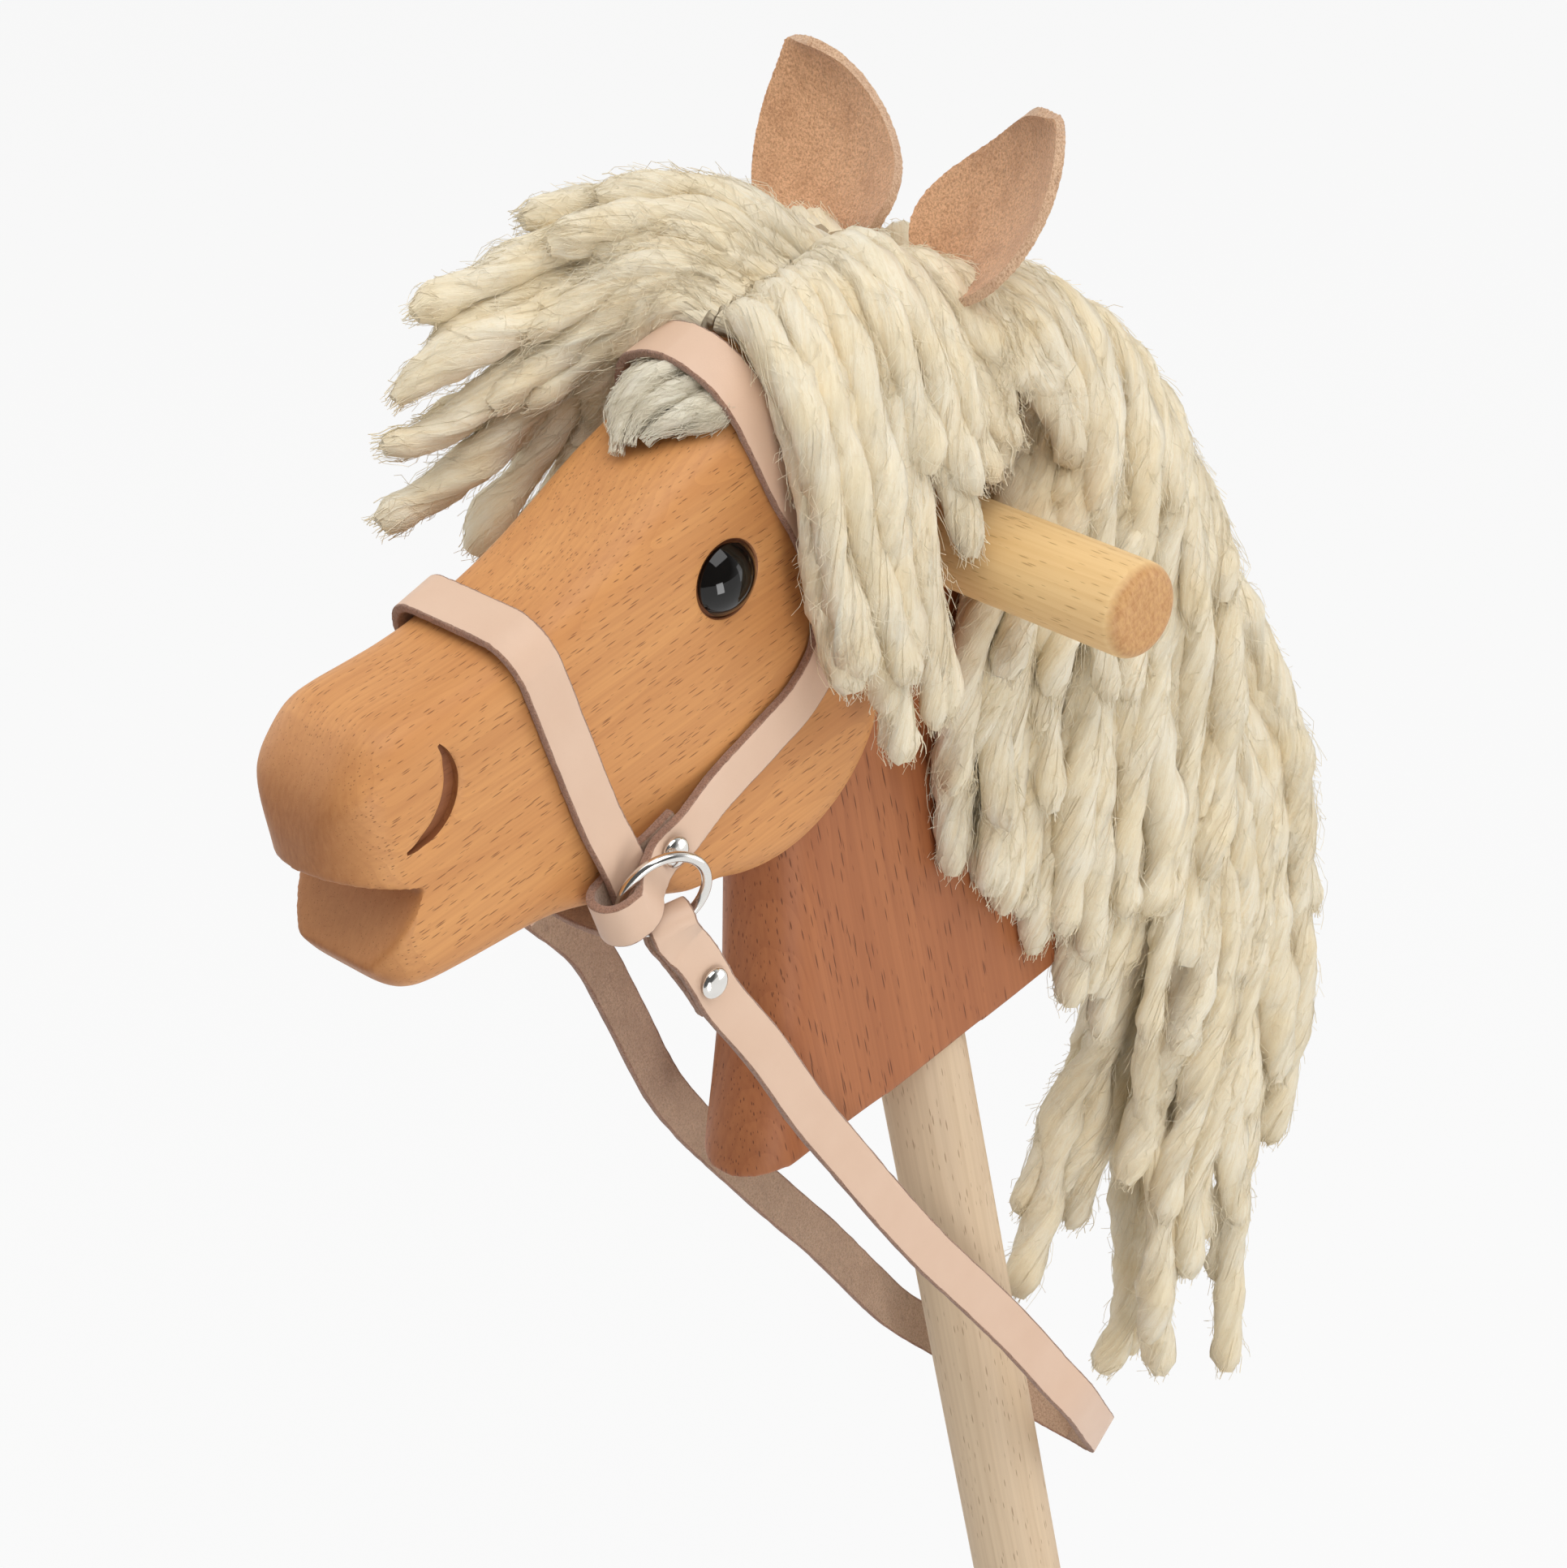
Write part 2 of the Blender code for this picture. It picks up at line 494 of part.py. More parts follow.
def neck_outline(grow=0.0):
    """The neck's side view from the front of the underside, up the front and back down the crest."""
    front = [(y - grow, z) for y, z in NECK_FRONT]
    top = NECK_TENON_TOP + grow
    tenon = [(NECK_TENON_FRONT - grow, top), (NECK_TENON_REAR - grow, top)]
    nape = [(y, z) for y, z in crest_yz if y > NECK_TENON_REAR + 0.001]
    start = (NECK_TENON_REAR - grow, crest_height(NECK_TENON_REAR))
    rear_foot = (nape[-1][0], underside(nape[-1][0]))
    return front + tenon + [start] + nape[:-1] + [rear_foot]


def crest_height(y):
    for (y0, z0), (y1, z1) in zip(crest_yz, crest_yz[1:]):
        if y0 <= y <= y1:
            return z0 + (z1 - z0) * (y - y0) / (y1 - y0)
    return crest_yz[0][1]


def neck_plank(name, grow=0.0):
    """The neck with its front edge worked to a full round."""
    thickness = NECK_THICKNESS + 2 * grow
    blank = plank(name, neck_outline(grow), thickness)
    bm = bmesh.new()
    bm.from_mesh(blank.data)
    front = [(y - grow, z) for y, z in NECK_FRONT] + [(NECK_TENON_FRONT - grow, NECK_TENON_TOP + grow)]

    def on_front(vert):
        return any(math.hypot(vert.co.y - y, vert.co.z - z) < 0.00002 for y, z in front)

    edges = [e for e in bm.edges
             if all(on_front(v) for v in e.verts) and abs(e.verts[0].co.x - e.verts[1].co.x) < 0.0001]
    bmesh.ops.bevel(bm, geom=edges, offset=thickness / 2 - 0.0004, offset_type="OFFSET", segments=6,
                    profile=0.5, affect="EDGES", clamp_overlap=False)
    bm.to_mesh(blank.data)
    bm.free()
    return blank


def build_neck():
    neck = neck_plank("neck_block")
    bore = round_bar("stick_bore", TENON_D / 2 + GAP, 2 * TENON_LENGTH + 2 * GAP + 0.01)
    bore.location = (0, 0, UNDERSIDE_RISE - 0.005)
    cut(neck, cutter(bore, datum))
    hole = point_along(round_bar("grip_hole", GRIP_D / 2 + GAP, 3 * NECK_THICKNESS),
                       (0, GRIP_Y, GRIP_Z), (1, 0, 0))
    cut(neck, cutter(hole, datum))
    return finish(neck, red_beech, datum)


def head_outline():
    cheek = [(CHEEK_CENTRE[0] + CHEEK_R * math.cos(math.radians(a)),
              CHEEK_CENTRE[1] + CHEEK_R * math.sin(math.radians(a)))
             for a in range(CHEEK_START, CHEEK_END, 9)]
    brow = [(y, z) for y, z in crest_yz if y <= POLL_END - 0.004]
    corner = [(POLL_CENTRE[0] + POLL_R * math.cos(math.radians(a)),
               POLL_CENTRE[1] + POLL_R * math.sin(math.radians(a))) for a in range(90, -31, -20)]
    back = corner + HEAD_BACK
    face = [(p.x, p.y) for p in smooth([Vector((y, z)) for y, z in FOREHEAD], 2)]
    chin = [(p.x, p.y) for p in smooth([Vector((y, z)) for y, z in CHIN], 2)]
    return face + chin + cheek + list(reversed(back)) + list(reversed(brow))


def crescent():
    """The nostril groove's outline: a bent line that is widest in its middle."""
    line = smooth([Vector((0, y, z)) for y, z in NOSTRIL], 2)
    outer, inner = [], []
    for i, (point, tangent) in enumerate(zip(line, tangents_of(line))):
        half = 0.0004 + NOSTRIL_WIDTH / 2 * math.sin(math.pi * i / (len(line) - 1))
        aside = Vector((0, -tangent.z, tangent.y)) * half
        outer.append(point + aside)
        inner.append(point - aside)
    return [(p.y, p.z) for p in outer + list(reversed(inner))]


def build_head():
    head = plank("head_block", head_outline(), HEAD_THICKNESS)
    rounding = head.modifiers.new("Rounded edges", "BEVEL")
    rounding.width = HEAD_ROUND
    rounding.segments = 5
    rounding.limit_method = "ANGLE"
    rounding.angle_limit = math.radians(60)
    rounding.use_clamp_overlap = False

    nose_tip = min(y for y, z in FOREHEAD)
    centre_y = nose_tip + MUZZLE_ROUND
    half = HEAD_THICKNESS / 2 + 0.004
    plan = [(MUZZLE_ROUND * math.cos(math.radians(a)), centre_y + MUZZLE_ROUND * math.sin(math.radians(a)))
            for a in range(180, 361, 10)]
    plan += [(half, centre_y + 0.010), (half, 0.120), (-half, 0.120), (-half, centre_y + 0.010)]
    bm = bmesh.new()
    floor = bm.faces.new([bm.verts.new((x, y, 0.090)) for x, y in plan])
    raised = bmesh.ops.extrude_face_region(bm, geom=[floor])["geom"]
    top = [v for v in raised if isinstance(v, bmesh.types.BMVert)]
    bmesh.ops.translate(bm, verts=top, vec=(0, 0, 0.200))
    bmesh.ops.recalc_face_normals(bm, faces=bm.faces)
    cut(head, cutter(mesh_object("muzzle_plan", bm), datum), "INTERSECT")

    corner_y, corner_z = MOUTH_CORNER
    upper = math.radians(MOUTH_UPPER)
    lower = math.radians(MOUTH_LOWER)
    notch = [(corner_y, corner_z),
             (corner_y - MOUTH_DEPTH, corner_z + MOUTH_DEPTH * math.tan(upper)),
             (corner_y - MOUTH_DEPTH, corner_z - MOUTH_DEPTH * math.tan(lower))]
    cut(head, cutter(plank("mouth_notch", notch, HEAD_THICKNESS + 0.010), datum))
    for side, sign in (("left", 1), ("right", -1)):
        across = sign * (HEAD_THICKNESS / 2 - NOSTRIL_DEPTH + 0.005)
        cut(head, cutter(plank(f"nostril_{side}", crescent(), 0.010, across), datum))
        face = sign * HEAD_THICKNESS / 2
        socket = turned(f"eye_socket_{side}", [
            (0, 0.004), (EYE_D / 2 + 0.0025, 0.004), (EYE_D / 2 + GAP, -EYE_SOCKET_DEPTH),
            (EYE_STEM_D / 2 + GAP, -EYE_SOCKET_DEPTH), (EYE_STEM_D / 2 + GAP, -EYE_STEM - 0.0015),
            (0, -EYE_STEM - 0.0015)])
        cut(head, cutter(point_along(socket, (face, EYE_Y, EYE_Z), (sign, 0, 0)), datum))
    cut(head, cutter(neck_plank("neck_slot", GAP), datum))
    return finish(head, head_beech, datum)


def build_grip():
    half = GRIP_LENGTH / 2
    radius = GRIP_D / 2
    corner = [(radius - GRIP_ROUND + GRIP_ROUND * math.sin(math.radians(a)),
               half - GRIP_ROUND + GRIP_ROUND * math.cos(math.radians(a))) for a in (0, 30, 60, 90)]
    profile = [(0, half)] + corner + [(r, -z) for r, z in reversed(corner)] + [(0, -half)]
    bar = turned("grip_bar", profile, 32)
    point_along(bar, (0, GRIP_Y, GRIP_Z), (1, 0, 0))
    return finish(bar, grip_beech, datum)


def build_eyes():
    radius = EYE_D / 2
    ball = (radius ** 2 + EYE_RISE ** 2) / (2 * EYE_RISE)
    sweep = math.asin(radius / ball)
    angles = [sweep * i / 6 for i in range(7)]
    dome = [(ball * math.sin(a), EYE_RISE - ball * (1 - math.cos(a))) for a in angles]
    back = -EYE_SOCKET_DEPTH + GAP
    for side, sign in (("left", 1), ("right", -1)):
        eye = turned(f"eye_{side}", dome + [(radius, back), (EYE_STEM_D / 2, back),
                                            (EYE_STEM_D / 2, -EYE_STEM), (0, -EYE_STEM)])
        point_along(eye, (sign * HEAD_THICKNESS / 2, EYE_Y, EYE_Z), (sign, 0, 0))
        finish(eye, eye_black, datum)


def build_noseband():
    half = smooth([Vector((x, 0, z)) for x, z in NOSEBAND_LOOP], 2)
    loop = half + [Vector((-p.x, 0, p.z)) for p in reversed(half[1:-1])]
    path = [Vector((p.x, NOSEBAND_Y - NOSEBAND_LEAN * (p.z - NOSEBAND_Z), p.z)) for p in loop]
    width = Vector((0, 1, NOSEBAND_LEAN)).normalized()
    band = strap("noseband", path, [width] * len(path), closed=True)
    return finish(band, strap_leather, datum)


def rivet_hole(name, place, parent):
    tool = point_along(round_bar(name, RIVET_POST_D / 2 + GAP, 0.030, 16), place, (1, 0, 0))
    tool.location = tool.location - (parent.location if parent in moving_frames else Vector())
    return cutter(tool, parent)


def build_headpiece():
    turn = fold(HEADPIECE_FOLD, HEADPIECE_FOLD_R, (1, 0, 0), (0, -1, -0.15))
    half = smooth(HEADPIECE, 3) + turn + smooth(HEADPIECE_INNER, 2)
    widths = widths_of(half, (0, 0.98, 0.17))
    full = [Vector((-p.x, p.y, p.z)) for p in reversed(half[1:])] + half
    full_widths = [Vector((-w.x, w.y, w.z)) for w in reversed(widths[1:])] + widths
    piece = strap("headpiece", full, full_widths)
    for side, sign in (("left", 1), ("right", -1)):
        place = (sign * CHEEK_OUTER_X, CHEEK_RIVET_Y, CHEEK_RIVET_Z)
        cut(piece, rivet_hole(f"cheek_rivet_hole_{side}", place, datum))
    return finish(piece, strap_leather, datum)


def build_rein():
    wire = Vector(RING_CENTRE) + ring_down * (RING_R - REIN_FOLD_RISE)
    turn = fold(wire, REIN_FOLD_R, ring_axis, -ring_down)
    inner = smooth(REIN_INNER, 2)
    left = smooth(REIN_END + REIN_LEFT + REIN_OUTER, 2) + turn + inner
    right = smooth(REIN_END + mirrored(REIN_RIGHT) + REIN_OUTER, 2) + turn + inner
    end_width = (0, 0.8, 0.6)
    path = [Vector((-p.x, p.y, p.z)) for p in reversed(right[1:])] + left
    flat = slice(-len(inner) - len(turn), -len(inner))
    right_widths = widths_of(right, end_width, flat, ring_front)
    left_widths = widths_of(left, end_width, flat, ring_front)
    widths = [Vector((-w.x, w.y, w.z)) for w in reversed(right_widths[1:])] + left_widths
    piece = strap("rein", path, widths)
    for side, sign in (("left", 1), ("right", -1)):
        place = (sign * REIN_OUTER_X, REIN_RIVET_Y, REIN_RIVET_Z)
        cut(piece, rivet_hole(f"rein_rivet_hole_{side}", place, rein_pivot))
    return finish(piece, strap_leather, rein_pivot)


def rivet(name, side, outer_x, inner_x, y, z, parent):
    """A cap outside the straps and a post with a flat back inside them."""
    sign = 1 if side == "left" else -1
    radius = RIVET_CAP_D / 2
    bore = RIVET_POST_D / 2 + 0.0005
    post_top = outer_x + RIVET_CAP_BORE - GAP
    cap = turned(f"{name}_cap_{side}", [
        (0, RIVET_CAP_RISE), (radius * 0.45, RIVET_CAP_RISE * 0.9), (radius * 0.8, RIVET_CAP_RISE * 0.55),
        (radius, 0.0003), (radius, 0), (bore, 0), (bore, RIVET_CAP_BORE), (0, RIVET_CAP_BORE)], 20)
    point_along(cap, (sign * (outer_x + GAP), y, z), (sign, 0, 0))
    finish(cap, nickel, parent)
    back_x = inner_x - GAP
    post = turned(f"{name}_post_{side}", [
        (0, post_top), (RIVET_POST_D / 2, post_top), (RIVET_POST_D / 2, back_x), (RIVET_BACK_D / 2, back_x),
        (RIVET_BACK_D / 2, back_x - RIVET_BACK_THICKNESS), (0, back_x - RIVET_BACK_THICKNESS)], 16)
    point_along(post, (0, y, z), (sign, 0, 0))
    finish(post, steel, parent)


def build_rivets():
    half = STRAP_THICKNESS / 2 + RIVET_AIR
    for side in ("left", "right"):
        rivet("cheek_rivet", side, CHEEK_OUTER_X + half, CHEEK_INNER_X - half,
              CHEEK_RIVET_Y, CHEEK_RIVET_Z, datum)
        rivet("rein_rivet", side, REIN_OUTER_X + half, REIN_INNER_X - half,
              REIN_RIVET_Y, REIN_RIVET_Z, rein_pivot)


def build_rings():
    for side, sign in (("left", 1), ("right", -1)):
        bpy.ops.mesh.primitive_torus_add(major_radius=RING_R, minor_radius=RING_WIRE_D / 2,
                                         major_segments=28, minor_segments=8)
        ring = bpy.context.object
        for owner in list(ring.users_collection):
            owner.objects.unlink(ring)
        ring.name = f"bit_ring_{side}"
        centre = (sign * RING_CENTRE[0], RING_CENTRE[1], RING_CENTRE[2])
        point_along(ring, centre, (sign * ring_axis.x, ring_axis.y, ring_axis.z))
        finish(ring, nickel, ring_pivots[side])


def crest_slope(y):
    """Directions down the crest and square out of it, at y."""
    step = 0.004
    down = Vector((0, step, crest_height(y + step) - crest_height(y))).normalized()
    return down, Vector((0, -down.z, down.y))


def build_ears():
    for side, sign in (("left", 1), ("right", -1)):
        inner = [Vector(p) for p in EAR_INNER]
        outer = [Vector(p) for p in EAR_OUTER]
        tip = Vector(EAR_TIP)
        rows = []
        for a, b, cup in zip(inner, outer, EAR_CUP):
            across = (b - a).normalized()
            behind = across.cross((tip - (a + b) / 2).normalized()).normalized()
            if behind.y < 0:
                behind = -behind
            row = []
            for k in range(5):
                t = k / 4
                row.append(a.lerp(b, t) + behind * cup * 4 * t * (1 - t))
            rows.append(row)
        down, out = crest_slope(EAR_TAB_Y)
        top = Vector((EAR_TAB_X, EAR_TAB_Y, crest_height(EAR_TAB_Y))) + out * (EAR_THICKNESS / 2 + GAP)
        tab_rows = []
        for step in (1.0, 0.0):
            centre = top + down * EAR_TAB_LENGTH * step
            tab_rows.append([centre + Vector(((k / 4 - 0.5) * EAR_TAB_WIDTH, 0, 0)) for k in range(5)])
        rows = tab_rows + rows + [[tip + Vector(((k / 4 - 0.5) * 0.008, 0, 0)) for k in range(5)]]
        bm = bmesh.new()
        grid = [[bm.verts.new((sign * p.x, p.y, p.z)) for p in row] for row in rows]
        for lower, upper in zip(grid, grid[1:]):
            for i in range(4):
                face = (lower[i], lower[i + 1], upper[i + 1], upper[i])
                bm.faces.new(face if sign > 0 else tuple(reversed(face)))
        ear = mesh_object(f"ear_{side}", bm)
        soft = ear.modifiers.new("Soft form", "SUBSURF")
        soft.levels = 1
        soft.render_levels = 1
        wall = ear.modifiers.new("Thickness", "SOLIDIFY")
        wall.thickness = EAR_THICKNESS
        wall.offset = 0
        place = top + down * EAR_TAB_LENGTH * 0.72
        place.x *= sign
        hole = round_bar(f"ear_hole_{side}", EAR_SCREW_D / 2 + GAP, 2 * EAR_SCREW_LENGTH + 4 * GAP, 12)
        hole = cutter(point_along(hole, place, out), datum)
        cut(ear, hole)
        cut(bpy.data.objects["neck_block"], hole)
        finish(ear, ear_leather, datum)
        seat = EAR_THICKNESS / 2 + GAP
        radius = EAR_SCREW_HEAD_D / 2
        screw = turned(f"ear_screw_{side}", [
            (0, seat + 0.0016), (radius * 0.6, seat + 0.0013), (radius, seat + 0.0003), (radius, seat),
            (EAR_SCREW_D / 2, seat), (EAR_SCREW_D / 2, -EAR_SCREW_LENGTH + 0.002),
            (0, -EAR_SCREW_LENGTH)], 12)
        point_along(screw, place, out)
        finish(screw, steel, datum)


def crest_points():
    """The crest with its outward direction at each point."""
    path = [Vector((0, y, z)) for y, z in crest_yz]
    return [(p, Vector((0, -t.z, t.y))) for p, t in zip(path, tangents_of(path))]


def on_crest(share):
    """A point at a share of the crest's length, and the direction square out of the wood there."""
    points = crest_points()
    place = along([p for p, out in points], share)
    nearest = min(points, key=lambda item: (item[0] - place).length)
    return place, nearest[1]


def build_backing():
    """A woven strip along the crest with the tacks that hold it."""
    middle = GAP + BACKING_THICKNESS / 2
    line = [p + out * middle for p, out in crest_points()]
    line = line[1:-1]
    bm = bmesh.new()
    half = BACKING_WIDTH / 2
    rails = [[bm.verts.new(p + Vector((side * half, 0, 0))) for p in line] for side in (-1, 1)]
    for i in range(len(line) - 1):
        bm.faces.new((rails[0][i], rails[0][i + 1], rails[1][i + 1], rails[1][i]))
    strip = mesh_object("mane_backing", bm)
    wall = strip.modifiers.new("Thickness", "SOLIDIFY")
    wall.thickness = BACKING_THICKNESS
    wall.offset = 0
    for i in range(TACK_COUNT):
        share = (i + 0.5) / TACK_COUNT
        foot, out = on_crest(share)
        seat = 2 * GAP + BACKING_THICKNESS
        hole = round_bar(f"tack_hole_{i + 1}", TACK_PIN_D / 2 + GAP, 2 * TACK_LENGTH + 2 * GAP, 10)
        hole = cutter(point_along(hole, foot, out), datum)
        for owner in (strip, bpy.data.objects["neck_block"], bpy.data.objects["head_block"]):
            cut(owner, hole)
        radius = TACK_HEAD_D / 2
        tack = turned(f"mane_tack_{i + 1}", [
            (0, seat + TACK_HEAD_RISE), (radius * 0.7, seat + TACK_HEAD_RISE * 0.7), (radius, seat),
            (TACK_PIN_D / 2, seat), (TACK_PIN_D / 2, -TACK_LENGTH + 0.003), (0, -TACK_LENGTH)], 10)
        point_along(tack, foot, out)
        finish(tack, steel, datum)
    finish(strip, backing_cloth, datum)


def between(points, place):
    """The point at a real-numbered place in a row of points, on a smooth curve through them."""
    i = min(int(place), len(points) - 2)
    t = place - i
    before, start = points[max(i - 1, 0)], points[i]
    end, after = points[i + 1], points[min(i + 2, len(points) - 1)]
    return 0.5 * (2 * start + (end - before) * t + (2 * before - 5 * start + 4 * end - after) * t * t
                  + (3 * start - before - 3 * end + after) * t ** 3)


def build_panel(names, guides, side=1):
    """Tufts side by side on the surface that the guide lines span."""
    lines = [smooth([(side * x, y, z) for x, y, z in guide], 5) for guide in guides]
    rows = {}

    def place(s, t):
        if t not in rows:
            rows[t] = [along(line, t) for line in lines]
        return between(rows[t], s)

    step = 0.01
    for k, name in enumerate(names):
        rings = []
        for i in range(TUFT_RINGS + 1):
            t = i / TUFT_RINGS
            end = max(t - 0.75, 0) / 0.25
            depth = (TUFT_ROOT + (TUFT_BODY - TUFT_ROOT) * min(t * 4, 1)) * (1 - 0.4 * end)
            wide = (place(k + 1, t) - place(k, t)).length
            edge = TUFT_GAP / 2 / wide
            half = (0.5 - edge) * (1 - 0.25 * end)
            outer, inner = [], []
            for share, height in TUFT_SECTION:
                s = k + 0.5 + share * half
                across = place(s + step, t) - place(s - step, t)
                run = place(s, min(t + step, 1)) - place(s, max(t - step, 0))
                normal = run.cross(across).normalized()
                centre = place(s, t)
                outer.append(centre + normal * depth * height)
                inner.append(centre - normal * depth * height)
            rings.append(outer + list(reversed(inner)))
        finish(tuft_solid(name, rings), wool, datum)


def build_brow():
    """The short bundle of wool under the forehead strap."""
    rings = []
    for y, z, half_width, half_height, aside in BROW:
        ring = []
        for k in range(10):
            angle = 2 * math.pi * k / 10
            ring.append(Vector((aside + half_width * math.cos(angle), y,
                                z + half_height * math.sin(angle))))
        rings.append(ring)
    finish(tuft_solid("brow_tuft", rings), wool, datum)


def build_mane():
    build_panel([f"forelock_left_{i + 1}" for i in range(len(FORELOCK_NEAR) - 1)], FORELOCK_NEAR)
    build_panel([f"forelock_right_{i + 1}" for i in range(len(FORELOCK_FAR) - 1)], FORELOCK_FAR)
    for side, sign in (("left", 1), ("right", -1)):
        build_panel([f"mane_{side}_{i + 1}" for i in range(len(MANE) - 1)], MANE, sign)
        build_panel([f"tail_{side}_{i + 1}" for i in range(len(TAIL) - 1)], TAIL, sign)


build_stick()
build_neck()
build_head()
build_grip()
build_eyes()
build_noseband()
build_headpiece()
build_rein()
build_rivets()
build_rings()
build_ears()
build_backing()
build_mane()
build_brow()
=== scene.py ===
# A hobby horse: sanded beech, leather bridle and ears, and a mane of woollen yarn.
# Metres; the stick's foot is at the origin, +Z is up, the horse faces -Y and its left side is +X.
import json
import math
import random

import bmesh
import bpy
from mathutils import Matrix, Vector, noise

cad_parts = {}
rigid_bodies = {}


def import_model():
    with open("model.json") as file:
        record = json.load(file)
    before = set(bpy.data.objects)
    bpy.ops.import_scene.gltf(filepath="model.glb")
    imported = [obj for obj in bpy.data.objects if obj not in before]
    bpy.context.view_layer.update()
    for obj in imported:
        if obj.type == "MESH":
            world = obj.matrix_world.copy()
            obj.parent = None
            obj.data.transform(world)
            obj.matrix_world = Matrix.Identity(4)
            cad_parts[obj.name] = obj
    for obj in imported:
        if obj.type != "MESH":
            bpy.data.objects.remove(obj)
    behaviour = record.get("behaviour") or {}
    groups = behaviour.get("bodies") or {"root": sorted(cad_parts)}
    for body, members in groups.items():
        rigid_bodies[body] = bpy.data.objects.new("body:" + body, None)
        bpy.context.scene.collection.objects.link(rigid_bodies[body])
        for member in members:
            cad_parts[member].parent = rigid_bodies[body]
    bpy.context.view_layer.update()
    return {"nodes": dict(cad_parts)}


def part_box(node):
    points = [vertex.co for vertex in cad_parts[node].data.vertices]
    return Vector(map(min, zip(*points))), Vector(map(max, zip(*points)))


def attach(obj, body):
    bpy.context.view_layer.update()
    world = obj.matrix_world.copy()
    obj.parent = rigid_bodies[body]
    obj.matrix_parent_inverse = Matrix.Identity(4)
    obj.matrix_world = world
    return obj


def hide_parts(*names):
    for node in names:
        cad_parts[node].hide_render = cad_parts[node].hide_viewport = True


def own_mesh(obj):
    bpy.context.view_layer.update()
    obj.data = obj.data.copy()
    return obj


for leftover in list(bpy.data.objects):
    bpy.data.objects.remove(leftover)
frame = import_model()
nodes = frame["nodes"]
datum = 0.600  # height that the outlines of head, straps and mane are drawn from
sides = (("left", 1), ("right", -1))


# Small tools for paths and meshes
def curvePoint(a, b, c, d, t):
    # A Catmull-Rom curve from b to c
    return 0.5 * (2 * b + (c - a) * t + (2 * a - 5 * b + 4 * c - d) * t * t
                  + (3 * b - a - 3 * c + d) * t ** 3)


def smoothLine(points, steps=6, closed=False):
    # A smooth line through the points
    points = [Vector(p) for p in points]
    count = len(points)
    line = []
    for i in range(count if closed else count - 1):
        if closed:
            a, b, c, d = (points[(i + k) % count] for k in (-1, 0, 1, 2))
        else:
            a, b = points[max(i - 1, 0)], points[i]
            c, d = points[i + 1], points[min(i + 2, count - 1)]
        line += [curvePoint(a, b, c, d, k / steps) for k in range(steps)]
    return line if closed else line + [points[-1]]


def evenLine(points, count):
    # The same line as count points at equal distances
    lengths = [(b - a).length for a, b in zip(points, points[1:])]
    total = sum(lengths)
    line, walked, i = [], 0.0, 0
    for k in range(count):
        target = total * k / (count - 1)
        while i < len(lengths) - 1 and walked + lengths[i] < target:
            walked += lengths[i]
            i += 1
        share = min(max((target - walked) / max(lengths[i], 1e-9), 0), 1)
        line.append(points[i].lerp(points[i + 1], share))
    return line


def tangentsOf(line, closed=False):
    count = len(line)
    if closed:
        return [(line[(i + 1) % count] - line[i - 1]).normalized() for i in range(count)]
    return [(line[min(i + 1, count - 1)] - line[max(i - 1, 0)]).normalized() for i in range(count)]


def raised(points, side=1):
    # Points drawn from the datum, in the frame's own heights, on the left or the right side
    return [Vector((side * x, y, z + datum)) for x, y, z in points]


def added(name, data):
    made = bpy.data.objects.new(name, data)
    bpy.context.scene.collection.objects.link(made)
    return made


def newPiece(name, mesh, *materials):
    for material in materials:
        mesh.materials.append(material)
    return added(name, mesh)


def meshFrom(name, bm, turnOut=True):
    if turnOut:  # faces outwards
        bmesh.ops.recalc_face_normals(bm, faces=bm.faces)
    mesh = bpy.data.meshes.new(name)
    bm.to_mesh(mesh)
    bm.free()
    return mesh


def smoothed(mesh, sharpAngle):
    mesh.shade_smooth()
    mesh.set_sharp_from_angle(angle=math.radians(sharpAngle))
    return mesh


def baked(piece):
    # Modifiers turned into plain mesh
    bpy.context.view_layer.update()
    mesh = bpy.data.meshes.new_from_object(piece.evaluated_get(bpy.context.evaluated_depsgraph_get()))
    name = piece.name
    bpy.data.objects.remove(piece)
    return added(name, mesh)


def alongAxis(place, axis):
    return Matrix.Translation(Vector(place)) @ Vector(axis).to_track_quat("Z", "Y").to_matrix().to_4x4()


def turnedPiece(name, profile, place, axis, material, steps=64):
    # A solid turned about an axis from its profile of (radius, height), top to bottom
    turn = alongAxis(place, axis)
    bm = bmesh.new()
    rings = []
    for r, h in profile:
        if r < 1e-6:
            rings.append([bm.verts.new(turn @ Vector((0, 0, h)))])
        else:
            angles = [2 * math.pi * k / steps for k in range(steps)]
            rings.append([bm.verts.new(turn @ Vector((r * math.cos(a), r * math.sin(a), h))) for a in angles])
    for upper, lower in zip(rings, rings[1:]):
        for k in range(steps):
            j = (k + 1) % steps
            corners = [ring[i % len(ring)] for ring, i in ((upper, k), (lower, k), (lower, j), (upper, j))]
            corners = list(dict.fromkeys(corners))
            if len(corners) > 2:
                bm.faces.new(corners)
    return newPiece(name, smoothed(meshFrom(name, bm), 50), material)


def stand(piece, body, slot, *replaced):
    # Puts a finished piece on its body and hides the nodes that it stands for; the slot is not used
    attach(piece, body)
    if replaced:
        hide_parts(*replaced)
    return piece


# Materials
def addNode(tree, kind, values=None, **options):
    made = tree.nodes.new(kind)
    for key, value in options.items():
        setattr(made, key, value)
    for key, value in (values or {}).items():
        made.inputs[key].default_value = value
    return made


def join(tree, *pairs):
    for source, target in pairs:
        tree.links.new(source, target)


def mixColour(tree, share, first, second):
    # Share, first and second are sockets or plain values
    mix = addNode(tree, "ShaderNodeMix", data_type="RGBA")
    for index, value in ((0, share), (6, first), (7, second)):
        if isinstance(value, bpy.types.NodeSocket):
            tree.links.new(value, mix.inputs[index])
        else:
            mix.inputs[index].default_value = value if index == 0 else (*value, 1)
    return mix.outputs[2]


